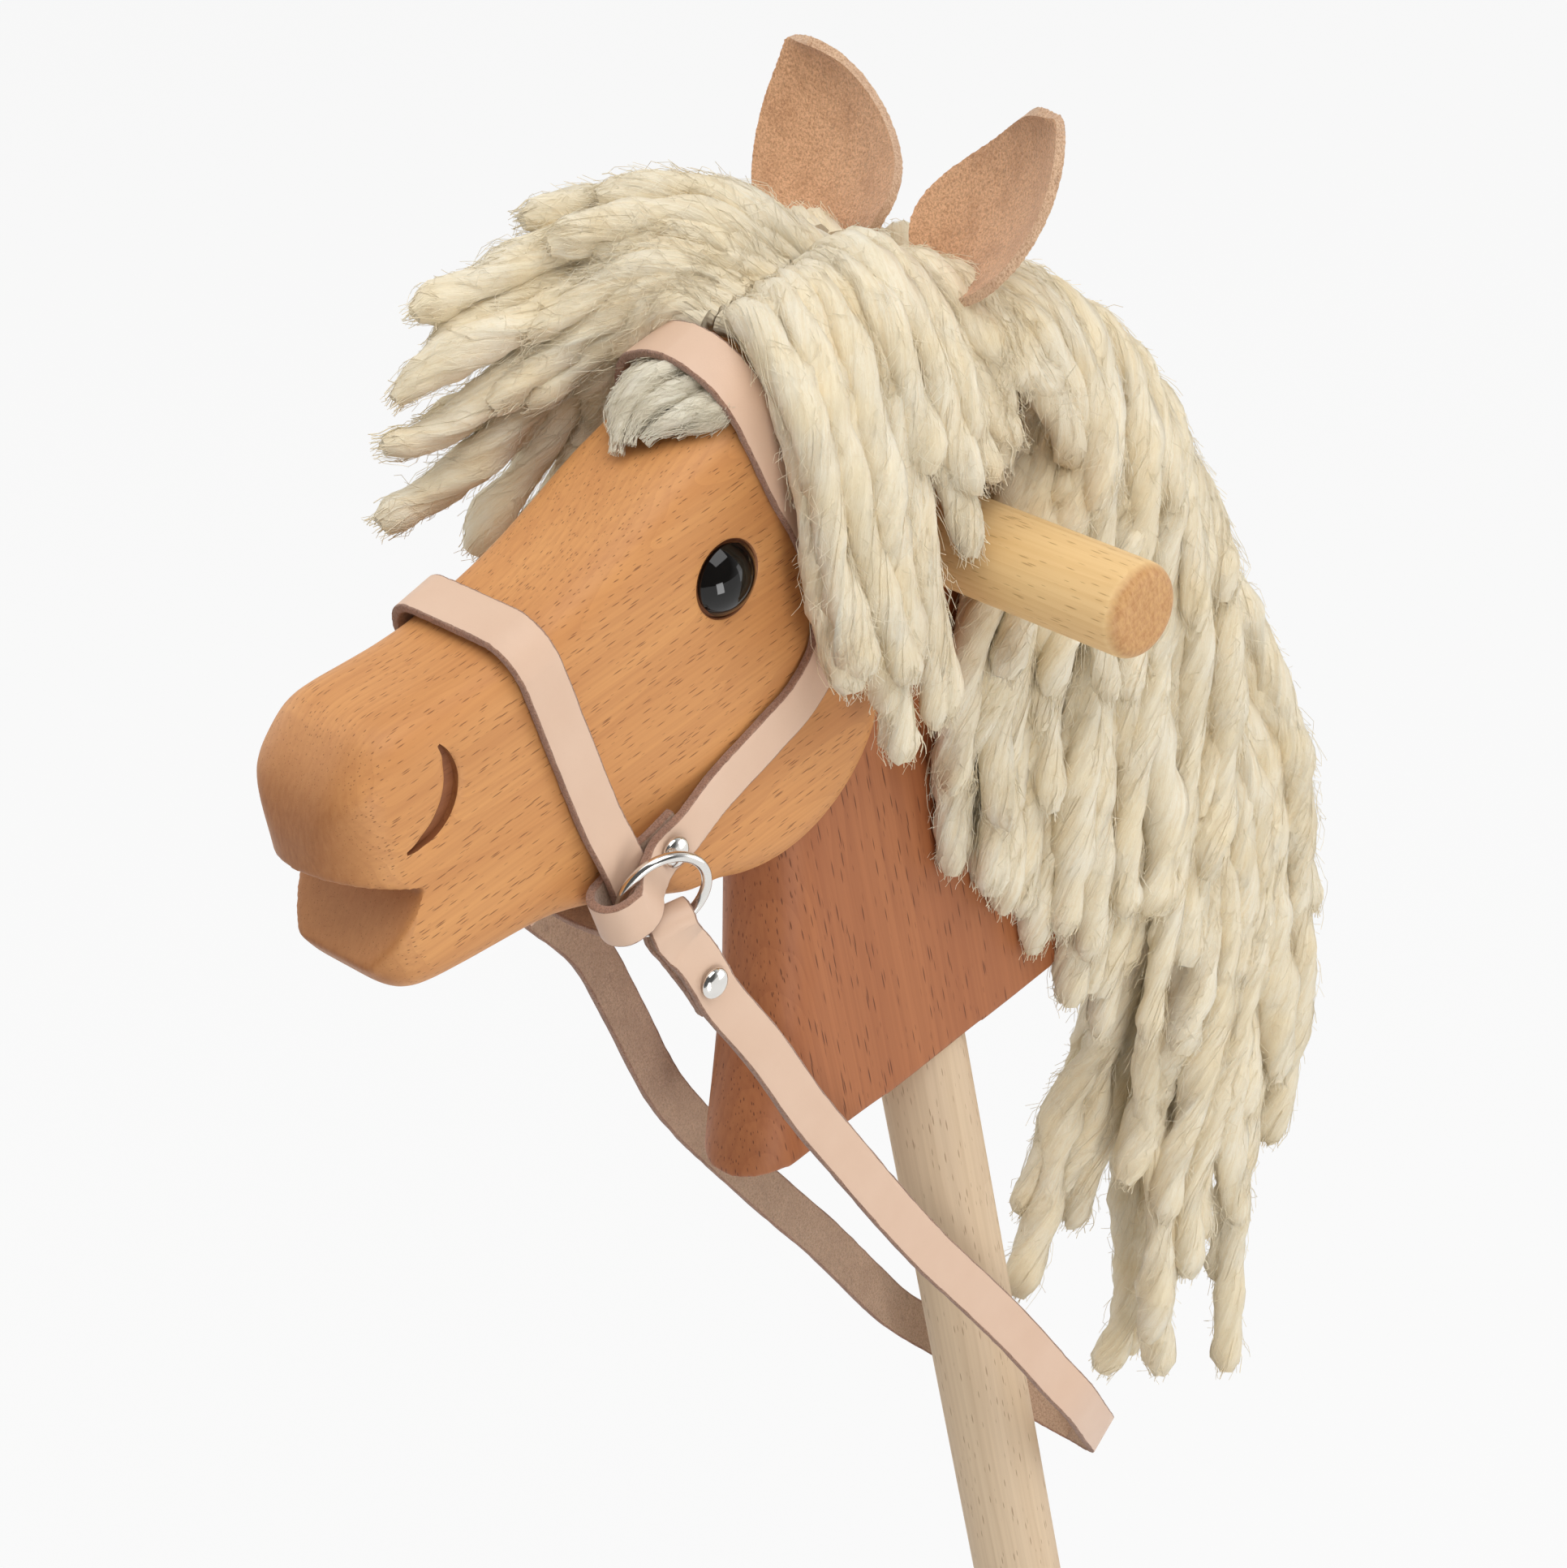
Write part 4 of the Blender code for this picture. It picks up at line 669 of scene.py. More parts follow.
def strapPiece(name, path, widths, outward, closed=False):
    # A leather strap along a path; outward is the side that its smooth face looks to at the start
    tangents = tangentsOf(path, closed)
    section = strapSection()
    bm = bmesh.new()
    rings = []
    normal = Vector(outward)
    for i, (p, t, w) in enumerate(zip(path, tangents, widths)):
        w = (w - t * w.dot(t)).normalized()
        n = t.cross(w)
        if n.dot(normal) < 0:
            n = -n
        normal = n
        ring = []
        for a, b, kind in section:
            point = p + w * a + n * b
            if abs(a) > strapShape["width"] / 2 - strapShape["edgeBand"]:  # the cut edges are ragged
                coarse, fine = strapShape["raggedScales"]
                wave = noise.noise(point * coarse) + 0.6 * noise.noise(point * fine)
                point += w * math.copysign(1, a) * wave * strapShape["ragged"]
            ring.append(bm.verts.new(point))
        rings.append(ring)
    count, points = len(rings), len(section)
    for i in range(count if closed else count - 1):
        for k in range(points):
            face = bm.faces.new((rings[i][k], rings[i][(k + 1) % points],
                                 rings[(i + 1) % count][(k + 1) % points], rings[(i + 1) % count][k]))
            face.material_index = section[k][2]
    if not closed:
        for ring in (rings[0], rings[-1]):
            bm.faces.new(ring).material_index = 2
    return newPiece(name, smoothed(meshFrom(name, bm), 60), strapSmooth, strapSuede, strapCut)


def widthsAlong(path, start, flat=None, flatWidth=None):
    # Width directions square to the run in side view, and as before where the strap crosses or folds
    tangents = tangentsOf(path)
    width = Vector(start)
    widths = []
    for tangent in tangents:
        aside = Vector((0, -tangent.z, tangent.y))
        if aside.length > 0.55:
            if aside.dot(width) < 0:
                aside = -aside
            width = aside.normalized()
        widths.append(width)
    if flat:
        sign = 1 if flatWidth.dot(widths[flat][0]) > 0 else -1
        widths[flat] = [flatWidth * sign] * len(widths[flat])
    for _ in range(8):
        widths = [widths[0]] + [(widths[i - 1] + 2 * widths[i] + widths[i + 1]).normalized()
                                for i in range(1, len(widths) - 1)] + [widths[-1]]
    return widths


def foldLine(centre, radius, out, run, steps=14):
    # Half a turn from the outer layer to the inner one
    out, run = Vector(out).normalized(), Vector(run).normalized()
    angles = [math.pi * i / steps for i in range(steps + 1)]
    return [Vector(centre) + (out * math.cos(a) + run * math.sin(a)) * radius for a in angles]


def mirrorLine(line):
    return [Vector((-p.x, p.y, p.z)) for p in line]


def acrossBoth(right, left):
    # One row from the right half's end over the middle to the left half's end, both drawn on the left
    return mirrorLine(list(reversed(right[1:]))) + left


noseband = {"y": -0.1080, "z": 0.2200 + datum, "lean": 0.138,
            "loop": [(0.0000, 0.2257), (0.0060, 0.2257), (0.0112, 0.2256), (0.0150, 0.2251), (0.0187, 0.2225),
                     (0.0209, 0.2184), (0.0216, 0.2130), (0.0216, 0.1900), (0.0220, 0.1700), (0.0238, 0.1600),
                     (0.0245, 0.1520), (0.0243, 0.1441), (0.0223, 0.1403), (0.0195, 0.1366),
                     (0.0140, 0.1334), (0.0070, 0.1317), (0.0000, 0.1311)]}
half = [Vector((x, 0, z + datum)) for x, z in noseband["loop"]]
loop = half + mirrorLine(list(reversed(half[1:-1])))
loop = [Vector((p.x, noseband["y"] - noseband["lean"] * (p.z - noseband["z"]), p.z)) for p in loop]
loop = smoothLine(loop, 8, closed=True)
band = strapPiece("nosebandStrap", loop, [Vector((0, 1, noseband["lean"])).normalized()] * len(loop),
                  (0, 0, 1), closed=True)
stand(band, "horse", "strap_leather", "noseband")

headpiece = {
    "line": [(0.0000, -0.0318, 0.2548), (0.0070, -0.0318, 0.2536), (0.0140, -0.0317, 0.2499),
             (0.0190, -0.0312, 0.2434), (0.0213, -0.0300, 0.2347), (0.0217, -0.0265, 0.2200),
             (0.0216, -0.0215, 0.2040), (0.0216, -0.0190, 0.1880), (0.0216, -0.0235, 0.1720),
             (0.0216, -0.0340, 0.1635), (0.0216, -0.0460, 0.1598), (0.0217, -0.0600, 0.1565),
             (0.0224, -0.0680, 0.1550), (0.0244, -0.0760, 0.1541), (0.0255, -0.0815, 0.1535),
             (0.0257, -0.0861, 0.1530), (0.0260, -0.0895, 0.1523), (0.0275, -0.0930, 0.1515),
             (0.0296, -0.0968, 0.1506), (0.0320, -0.1000, 0.1493), (0.0330, -0.1025, 0.1486)],
    "fold": (0.0273, -0.1050, 0.1485 + datum), "foldRadius": 0.0056, "foldRun": (0, -1, -0.15),
    "inner": [(0.0217, -0.1000, 0.1498), (0.0217, -0.0928, 0.1514), (0.0223, -0.0900, 0.1521),
              (0.0226, -0.0861, 0.1530), (0.0226, -0.0800, 0.1543)]}
half = (smoothLine(raised(headpiece["line"]), 8)
        + foldLine(headpiece["fold"], headpiece["foldRadius"], (1, 0, 0), headpiece["foldRun"])
        + smoothLine(raised(headpiece["inner"]), 6))
widths = widthsAlong(half, (0, 0.98, 0.17))
piece = strapPiece("headpieceStrap", acrossBoth(half, half), acrossBoth(widths, widths), (1, 0, 0))
stand(piece, "horse", "strap_leather", "headpiece")

ringShape = {"centre": (0.0316, -0.0950, 0.1480 + datum), "axis": (0.93, -0.33, -0.17), "radius": 0.0112,
             "wire": 0.0013}
ringAxis = Vector(ringShape["axis"]).normalized()
ringDown = (Vector((0, 0, -1)) - ringAxis * -ringAxis.z).normalized()
ringFront = ringDown.cross(ringAxis)
if ringFront.y > 0:
    ringFront = -ringFront
rein = {
    "end": [(0.0000, 0.0330, -0.1510), (0.0090, 0.0305, -0.1475), (0.0180, 0.0250, -0.1385),
            (0.0265, 0.0150, -0.1205)],
    "left": [(0.0328, 0.0050, -0.1000), (0.0332, -0.0020, -0.0850), (0.0335, -0.0130, -0.0600),
             (0.0335, -0.0250, -0.0350), (0.0335, -0.0375, -0.0100), (0.0335, -0.0482, 0.0140),
             (0.0335, -0.0590, 0.0400), (0.0335, -0.0680, 0.0620), (0.0335, -0.0770, 0.0880)],
    "right": [(0.0328, 0.0020, -0.1000), (0.0332, -0.0070, -0.0820), (0.0335, -0.0195, -0.0550),
              (0.0335, -0.0325, -0.0300), (0.0335, -0.0470, -0.0010), (0.0335, -0.0562, 0.0190),
              (0.0335, -0.0620, 0.0360), (0.0335, -0.0675, 0.0620), (0.0335, -0.0740, 0.0880)],
    "outer": [(0.0334, -0.0862, 0.1100), (0.0334, -0.0887, 0.1185), (0.0331, -0.0910, 0.1265),
              (0.0328, -0.0935, 0.1325)],
    "inner": [(0.0268, -0.0930, 0.1330), (0.0287, -0.0910, 0.1265), (0.0305, -0.0887, 0.1185),
              (0.0308, -0.0862, 0.1100)],
    "foldRadius": 0.0035, "foldRise": 0.0010, "endWidth": (0, 0.8, 0.6)}
wire = Vector(ringShape["centre"]) + ringDown * (ringShape["radius"] - rein["foldRise"])
turn = foldLine(wire, rein["foldRadius"], ringAxis, -ringDown)
inner = smoothLine(raised(rein["inner"]), 6)
flat = slice(-len(inner) - len(turn), -len(inner))
halves = []
for run in ("right", "left"):
    line = smoothLine(raised(rein["end"] + rein[run] + rein["outer"]), 8) + turn + inner
    halves.append((line, widthsAlong(line, rein["endWidth"], flat, ringFront)))
path, widths = (acrossBoth(right, left) for right, left in zip(*halves))
piece = strapPiece("reinStrap", path, widths, (1, 0, 0))
stand(piece, "rein", "strap_leather", "rein")
print("straps done")


# Rings and rivets
def ringPiece(name, centre, axis, material):
    turn = alongAxis(centre, axis)
    bm = bmesh.new()
    rounds, wires = 96, 20
    around = [2 * math.pi * k / wires for k in range(wires)]
    section = [(ringShape["radius"] + ringShape["wire"] * math.cos(a), ringShape["wire"] * math.sin(a))
               for a in around]
    loops = []
    for i in range(rounds):
        a = 2 * math.pi * i / rounds
        middle = Vector((math.cos(a), math.sin(a), 0))
        loops.append([bm.verts.new(turn @ (middle * r + Vector((0, 0, h)))) for r, h in section])
    for i in range(rounds):
        for k in range(wires):
            j, n = (i + 1) % rounds, (k + 1) % wires
            bm.faces.new((loops[i][k], loops[j][k], loops[j][n], loops[i][n]))
    mesh = meshFrom(name, bm)
    mesh.shade_smooth()
    return newPiece(name, mesh, material)


rivet = {"cap": 0.0040, "rise": 0.0017, "rim": 0.0002, "cheek": (0.0861, 0.1530), "rein": (0.0890, 0.1185)}
for side, sign in sides:
    centre = (sign * ringShape["centre"][0], ringShape["centre"][1], ringShape["centre"][2])
    ring = ringPiece(f"ringWire_{side}", centre, (sign * ringAxis.x, ringAxis.y, ringAxis.z), nickel)
    stand(ring, f"bit_ring_{side}", "nickel", f"bit_ring_{side}")
    for kind, body in (("cheek", "horse"), ("rein", "rein")):
        node = f"{kind}_rivet_cap_{side}"
        low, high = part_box(node)
        seat = low.x if sign > 0 else high.x
        capLine = [(rivet["cap"] * math.sin(math.radians(a)), rivet["rise"] * math.cos(math.radians(a)))
                   for a in range(0, 91, 9)]
        capLine = [(r, h + rivet["rim"]) for r, h in capLine] + [(rivet["cap"], 0), (0, 0)]
        cap = turnedPiece(f"{kind}Cap_{side}", capLine, (seat, -rivet[kind][0], rivet[kind][1] + datum),
                          (sign, 0, 0), nickel, 48)
        stand(cap, body, "nickel", node)
for name, node in nodes.items():
    plainSteel = "_post_" in name or name.startswith(("ear_screw", "mane_tack"))
    if plainSteel or name == "mane_backing":
        node.data.materials.clear()
        node.data.materials.append(steel if plainSteel else backingCloth)
print("rings and rivets done")

# Ears
ear = {"inner": [(0.0075, 0.0370, 0.2450), (0.0035, 0.0400, 0.2500), (0.0045, 0.0500, 0.2570),
                 (0.0170, 0.0590, 0.2655), (0.0290, 0.0600, 0.2765)],
       "outer": [(0.0235, 0.0290, 0.2385), (0.0378, 0.0280, 0.2450), (0.0455, 0.0370, 0.2545),
                 (0.0480, 0.0462, 0.2660), (0.0465, 0.0525, 0.2745)],
       "tip": (0.0406, 0.0560, 0.2812), "cup": [0.0060, 0.0090, 0.0080, 0.0050, 0.0020],
       "thickness": 0.0024, "tab": [(0.0105, 0.0530, 0.2228), (0.0105, 0.0400, 0.2358)], "tabWidth": 0.007,
       "tipWidth": 0.008, "ragged": 0.00022, "raggedScales": (1100, 2700)}


def earPiece(side, sign):
    rows = []
    inner, outer = raised(ear["inner"]), raised(ear["outer"])
    tip = raised([ear["tip"]])[0]
    for a, b, cup in zip(inner, outer, ear["cup"]):
        across = (b - a).normalized()
        behind = across.cross((tip - (a + b) / 2).normalized()).normalized()
        if behind.y < 0:
            behind = -behind
        rows.append([a.lerp(b, k / 4) + behind * cup * 4 * (k / 4) * (1 - k / 4) for k in range(5)])
    tabs = [[p + Vector(((k / 4 - 0.5) * ear["tabWidth"], 0, 0)) for k in range(5)]
            for p in raised(ear["tab"])]
    top = [tip + Vector(((k / 4 - 0.5) * ear["tipWidth"], 0, 0)) for k in range(5)]
    rows = tabs + rows + [top]
    bm = bmesh.new()
    grid = [[bm.verts.new((sign * p.x, p.y, p.z)) for p in row] for row in rows]
    for lower, upper in zip(grid, grid[1:]):
        for i in range(4):
            face = (lower[i], lower[i + 1], upper[i + 1], upper[i])
            bm.faces.new(face if sign > 0 else tuple(reversed(face)))
    name = f"earBlade_{side}"
    piece = newPiece(name, meshFrom(name, bm, turnOut=False), earSuede, earSmooth, earCut)
    soft = piece.modifiers.new("Soft form", "SUBSURF")
    soft.levels = soft.render_levels = 5
    wall = piece.modifiers.new("Thickness", "SOLIDIFY")
    wall.thickness = ear["thickness"]
    wall.offset = 0
    wall.material_offset = 1
    wall.material_offset_rim = 2
    piece = baked(piece)
    mesh = piece.data
    normals = [v.normal.copy() for v in mesh.vertices]
    rim = set()
    for face in mesh.polygons:
        if face.material_index == 2:
            rim.update(face.vertices)
    coarse, fine = ear["raggedScales"]
    for v in mesh.vertices:
        nap = noise.noise(v.co * coarse) + 0.7 * noise.noise(v.co * fine)
        v.co += normals[v.index] * nap * (ear["ragged"] if v.index in rim else ear["ragged"] * 0.5)
    smoothed(mesh, 60)
    return piece


for side, sign in sides:
    stand(earPiece(side, sign), "horse", "ear_leather", f"ear_{side}")
print("ears done")


# Yarn
# The yarn's own numbers, by the names of its node tree's inputs
yarn = {"Fibres": 8, "Fibre Radius": 0.00010, "Stray Hairs": 26, "Fuzz": 210, "Hair Radius": 0.000072,
        "Brush": 26, "Brush Length": 0.0026, "Turns per Metre": 12.0, "Slub": 0.30, "Lobes": 0.07,
        "Clumps": 0.32}
# What the fibres of a strand do: lengths in metres, rises in shares of the strand's own radius
fibre = {"step": 0.0022, "corners": 12, "fibreStep": 0.0070, "bluntRun": 0.0065, "endGirth": 0.50,
         "lumpScale": 52.0, "clumpScale": 0.24, "strayLength": (0.010, 0.034), "strayRise": (0.10, 0.90),
         "fuzzLength": (0.0030, 0.0080), "fuzzRise": (0.10, 0.60), "brushRoot": (0.003, 0.009),
         "brushTip": (0.0, 0.0055), "brushRise": (0.15, 0.9), "brushThick": 1.9,
         "layAlong": 90.0, "layRound": 11.0, "layApart": 300.0}


def makeYarnTree():
    # Roving along curves: a twisted core of soft lobes, fibres laid on it, stray hairs, short fuzz,
    # and a loose brush of fibres past the core's end
    tree = bpy.data.node_groups.new("woollenYarn", "GeometryNodeTree")
    tree.interface.new_socket("Geometry", in_out="INPUT", socket_type="NodeSocketGeometry")
    numbers = [(key, "Int" if isinstance(value, int) else "Float", value) for key, value in yarn.items()]
    addInputs(tree, numbers + [("Wool", "Material", None), ("Seed", "Int", 1)])
    tree.interface.new_socket("Geometry", in_out="OUTPUT", socket_type="NodeSocketGeometry")
    source = addNode(tree, "NodeGroupInput")
    target = addNode(tree, "NodeGroupOutput")

    def store(geometry, name, value, domain="POINT", kind="FLOAT"):
        node = addNode(tree, "GeometryNodeStoreNamedAttribute", {"Name": name}, data_type=kind, domain=domain)
        join(tree, (geometry, node.inputs["Geometry"]), (value, node.inputs["Value"]))
        return node.outputs[0]

    def read(name):
        return addNode(tree, "GeometryNodeInputNamedAttribute", {"Name": name}, data_type="FLOAT").outputs[0]

    def chance(low, high, seed):
        node = addNode(tree, "FunctionNodeRandomValue", {2: low, 3: high}, data_type="FLOAT")
        join(tree, (plus(tree, source.outputs["Seed"], seed), node.inputs["Seed"]))
        return node.outputs[1]

    def resampled(geometry, by, value):
        node = addNode(tree, "GeometryNodeResampleCurve", {by: value}, mode=by.upper())
        join(tree, (geometry, node.inputs["Curve"]))
        return node.outputs[0]

    def trimmed(geometry, begin, finish):
        node = addNode(tree, "GeometryNodeTrimCurve", mode="LENGTH")
        join(tree, (geometry, node.inputs["Curve"]), (finish, node.inputs[5]))
        if begin is not None:
            join(tree, (begin, node.inputs[4]))
        return node.outputs[0]

    def copied(geometry, amount, seed, toneLow, toneHigh):
        node = addNode(tree, "GeometryNodeDuplicateElements", domain="SPLINE")
        join(tree, (geometry, node.inputs["Geometry"]), (amount, node.inputs["Amount"]))
        made = store(node.outputs[0], "tone", chance(toneLow, toneHigh, seed), "CURVE")
        return store(made, "from", chance(0.0, 0.985, seed + 1), "CURVE")

    def moved(geometry, direction, amount):
        offset = addNode(tree, "ShaderNodeVectorMath", operation="SCALE")
        move = addNode(tree, "GeometryNodeSetPosition")
        join(tree, (direction, offset.inputs[0]), (amount, offset.inputs["Scale"]),
             (geometry, move.inputs["Geometry"]), (offset.outputs[0], move.inputs["Offset"]))
        return move.outputs[0]

    def tube(geometry, radius, corners, lobed=False):
        ring = addNode(tree, "GeometryNodeCurvePrimitiveCircle", {"Resolution": corners, "Radius": 1.0})
        outline = ring.outputs[0]
        if lobed:
            turn = addNode(tree, "GeometryNodeSplineParameter").outputs["Index"]
            turn = times(tree, turn, 2 * math.pi / corners)
            outline = store(outline, "turnCos", calc(tree, "COSINE", turn))
            outline = store(outline, "turnSin", calc(tree, "SINE", turn))
            twice = calc(tree, "COSINE", times(tree, turn, 2.0))
            thrice = calc(tree, "COSINE", plus(tree, times(tree, turn, 3.0), 1.0))
            bulge = plus(tree, twice, times(tree, thrice, 0.7))
            outline = moved(outline, addNode(tree, "GeometryNodeInputPosition").outputs[0],
                            times(tree, bulge, source.outputs["Lobes"]))
        node = addNode(tree, "GeometryNodeCurveToMesh", {"Fill Caps": lobed})
        join(tree, (geometry, node.inputs["Curve"]), (outline, node.inputs["Profile Curve"]),
             (radius, node.inputs["Scale"]))
        return node.outputs[0]

    place = addNode(tree, "GeometryNodeInputPosition").outputs[0]
    length = addNode(tree, "GeometryNodeSplineParameter").outputs["Length"]
    factor = addNode(tree, "GeometryNodeSplineParameter").outputs["Factor"]
    whole = addNode(tree, "GeometryNodeSplineLength").outputs["Length"]

    # Thickness along each strand: slubs, and a blunt end that the brush hides
    lumps = addNode(tree, "ShaderNodeTexNoise", {"Scale": fibre["lumpScale"], "Detail": 2.0})
    join(tree, (place, lumps.inputs["Vector"]))
    slub = times(tree, minus(tree, lumps.outputs["Fac"], 0.5), times(tree, source.outputs["Slub"], 4.0))
    girth = times(tree, addNode(tree, "GeometryNodeInputRadius").outputs[0], plus(tree, slub, 1.0))
    bodyEnd = minus(tree, whole, source.outputs["Brush Length"])
    left = mapRange(tree, minus(tree, bodyEnd, length), 0.0, fibre["bluntRun"], 1.0, 0.0)
    blunt = calc(tree, "SQRT", minus(tree, 1.0, times(tree, left, left), clamp=True))
    girth = times(tree, girth, calc(tree, "MAXIMUM", blunt, fibre["endGirth"]))
    curves = store(resampled(source.outputs["Geometry"], "Length", fibre["step"]), "girth", girth)
    curves = store(curves, "along", length)
    curves = store(curves, "tone", chance(0.0, 0.6, 11), "CURVE")
    curves = store(curves, "turned", chance(0.0, 6.0, 12), "CURVE")
    twisted = addNode(tree, "GeometryNodeSetCurveTilt")
    twist = times(tree, length, times(tree, source.outputs["Turns per Metre"], 2 * math.pi))
    join(tree, (curves, twisted.inputs["Curve"]), (plus(tree, twist, read("turned")), twisted.inputs["Tilt"]))
    curves = twisted.outputs[0]

    # The core, its clumps of fibres and the directions that its colours follow
    core = tube(trimmed(curves, None, bodyEnd), read("girth"), fibre["corners"], lobed=True)
    lay = addNode(tree, "ShaderNodeCombineXYZ")
    along = plus(tree, times(tree, read("along"), fibre["layAlong"]),
                 times(tree, read("tone"), fibre["layApart"]))
    join(tree, (along, lay.inputs[0]), (times(tree, read("turnCos"), fibre["layRound"]), lay.inputs[1]),
         (times(tree, read("turnSin"), fibre["layRound"]), lay.inputs[2]))
    core = store(core, "lay", lay.outputs[0], kind="FLOAT_VECTOR")
    clump = addNode(tree, "ShaderNodeTexNoise", {"Scale": fibre["clumpScale"], "Detail": 2.0})
    join(tree, (lay.outputs[0], clump.inputs["Vector"]))
    rise = times(tree, read("girth"), source.outputs["Clumps"])
    rise = times(tree, minus(tree, clump.outputs["Fac"], 0.5), rise)
    core = moved(core, addNode(tree, "GeometryNodeInputNormal").outputs[0], times(tree, rise, 4.0))

    def laid(geometry, reachLow, reachHigh, seed, swing):
        # Curves moved out to the yarn's surface, each at its own angle and reach
        geometry = store(geometry, "phase", chance(0.0, 2 * math.pi, seed), "CURVE")
        geometry = store(geometry, "reach", chance(reachLow, reachHigh, seed + 1), "CURVE")
        wave = addNode(tree, "ShaderNodeTexNoise", {"Scale": 120.0, "Detail": 1.0})
        shifted = addNode(tree, "ShaderNodeVectorMath", operation="ADD")
        lift = addNode(tree, "ShaderNodeCombineXYZ")
        join(tree, (read("phase"), lift.inputs[0]), (read("reach"), lift.inputs[1]),
             (place, shifted.inputs[0]), (lift.outputs[0], shifted.inputs[1]),
             (shifted.outputs[0], wave.inputs["Vector"]))
        angle = times(tree, minus(tree, wave.outputs["Fac"], 0.5), swing)
        angle = plus(tree, read("phase"), angle)
        spin = addNode(tree, "FunctionNodeAxisAngleToRotation")
        arm = addNode(tree, "FunctionNodeRotateVector")
        join(tree, (addNode(tree, "GeometryNodeInputTangent").outputs[0], spin.inputs["Axis"]),
             (angle, spin.inputs["Angle"]),
             (addNode(tree, "GeometryNodeInputNormal").outputs[0], arm.inputs["Vector"]),
             (spin.outputs[0], arm.inputs["Rotation"]))
        return moved(geometry, arm.outputs[0], times(tree, read("girth"), read("reach")))

    def lifted(geometry, low, high, seed, power):
        # Raises each hair off the yarn towards its free end
        geometry = store(geometry, "climb", chance(low, high, seed), "CURVE")
        rise = times(tree, calc(tree, "POWER", factor, power), read("climb"))
        return store(geometry, "girth", times(tree, read("girth"), plus(tree, rise, 1.0)))

    # Fine fibres along the whole strand
    fibres = copied(resampled(curves, "Length", fibre["fibreStep"]), source.outputs["Fibres"], 21, 0.0, 1.0)
    fibres = trimmed(fibres, None, minus(tree, whole, chance(0.0, 0.008, 23)))
    fibres = laid(fibres, 0.94, 1.06, 31, 1.2)
    fibres = tube(fibres, source.outputs["Fibre Radius"], 3)

    # Stray hairs, and short fuzz all over
    hairs = copied(curves, source.outputs["Stray Hairs"], 41, 0.4, 1.0)
    begin = times(tree, whole, read("from"))
    hairs = trimmed(hairs, begin, plus(tree, begin, chance(*fibre["strayLength"], 43)))
    hairs = lifted(resampled(hairs, "Count", 9), *fibre["strayRise"], 44, 1.3)
    hairs = tube(laid(hairs, 0.98, 1.08, 51, 6.5), source.outputs["Hair Radius"], 3)
    fuzz = copied(curves, source.outputs["Fuzz"], 61, 0.0, 0.9)
    fuzz = trimmed(fuzz, begin, plus(tree, begin, chance(*fibre["fuzzLength"], 63)))
    fuzz = lifted(resampled(fuzz, "Count", 3), *fibre["fuzzRise"], 64, 1.1)
    fuzz = tube(laid(fuzz, 0.95, 1.05, 71, 6.0), source.outputs["Hair Radius"], 3)

    # The brush at the end, thick fibres from inside the core
    brush = copied(curves, source.outputs["Brush"], 81, 0.0, 0.8)
    brush = trimmed(brush, minus(tree, bodyEnd, chance(*fibre["brushRoot"], 83)),
                    minus(tree, whole, chance(*fibre["brushTip"], 84)))
    brush = lifted(resampled(brush, "Count", 5), *fibre["brushRise"], 85, 1.6)
    thick = times(tree, source.outputs["Hair Radius"], fibre["brushThick"])
    brush = tube(laid(brush, 0.25, 1.05, 91, 1.6), thick, 3)

    gather = addNode(tree, "GeometryNodeJoinGeometry")
    shaded = addNode(tree, "GeometryNodeSetShadeSmooth")
    real = addNode(tree, "GeometryNodeRealizeInstances")
    paint = addNode(tree, "GeometryNodeSetMaterial")
    join(tree, (brush, gather.inputs[0]), (fuzz, gather.inputs[0]), (hairs, gather.inputs[0]),
         (fibres, gather.inputs[0]), (core, gather.inputs[0]), (gather.outputs[0], shaded.inputs["Geometry"]),
         (shaded.outputs[0], real.inputs[0]), (real.outputs[0], paint.inputs["Geometry"]),
         (source.outputs["Wool"], paint.inputs["Material"]), (paint.outputs[0], target.inputs[0]))
    return tree


yarnTree = makeYarnTree()


def yarnPiece(name, strands, material, seed):
    # One mesh of yarn along strands, each a list of points with their radii
    curve = bpy.data.curves.new(name, "CURVE")
    curve.dimensions = "3D"
    for points, radii in strands:
        spline = curve.splines.new("POLY")
        spline.points.add(len(points) - 1)
        for target, point, radius in zip(spline.points, points, radii):
            target.co = (*point, 1)
            target.radius = radius
    carrier = added(name, curve)
    modifier = carrier.modifiers.new("Yarn", "NODES")
    modifier.node_group = yarnTree
    values = dict(yarn, Wool=material, Seed=seed)
    for item in yarnTree.interface.items_tree:
        if item.in_out == "INPUT" and item.name in values:
            modifier[item.identifier] = values[item.name]
    piece = baked(carrier)
    faces = sum(len(p.vertices) - 2 for p in piece.data.polygons)
    print(name, len(strands), "strands", faces, "triangles")
    return piece


reinSweep = {"y": -0.095, "z": 0.748, "angle": 57, "reach": 0.320, "clear": 0.0298}


def clearOfRein(point, radius):
    # Keeps yarn between the reins where they swing
    back, down = point.y - reinSweep["y"], reinSweep["z"] - point.z
    if down <= 0 or math.hypot(back, down) > reinSweep["reach"]:
        return point
    share = min(max((reinSweep["angle"] - math.degrees(math.atan2(back, down))) / 8, 0), 1)
    limit = reinSweep["clear"] - radius
    if abs(point.x) > limit:
        point.x += (math.copysign(limit, point.x) - point.x) * share
    return point


growth = {"stations": 30, "steps": 26, "scatter": 0.35, "lineScatter": 0.12, "driftPower": 1.5,
          "turnUpFrom": 0.55, "turnUp": 3.3, "depthSway": 0.6, "rootThick": 0.74, "perPiece": 17}


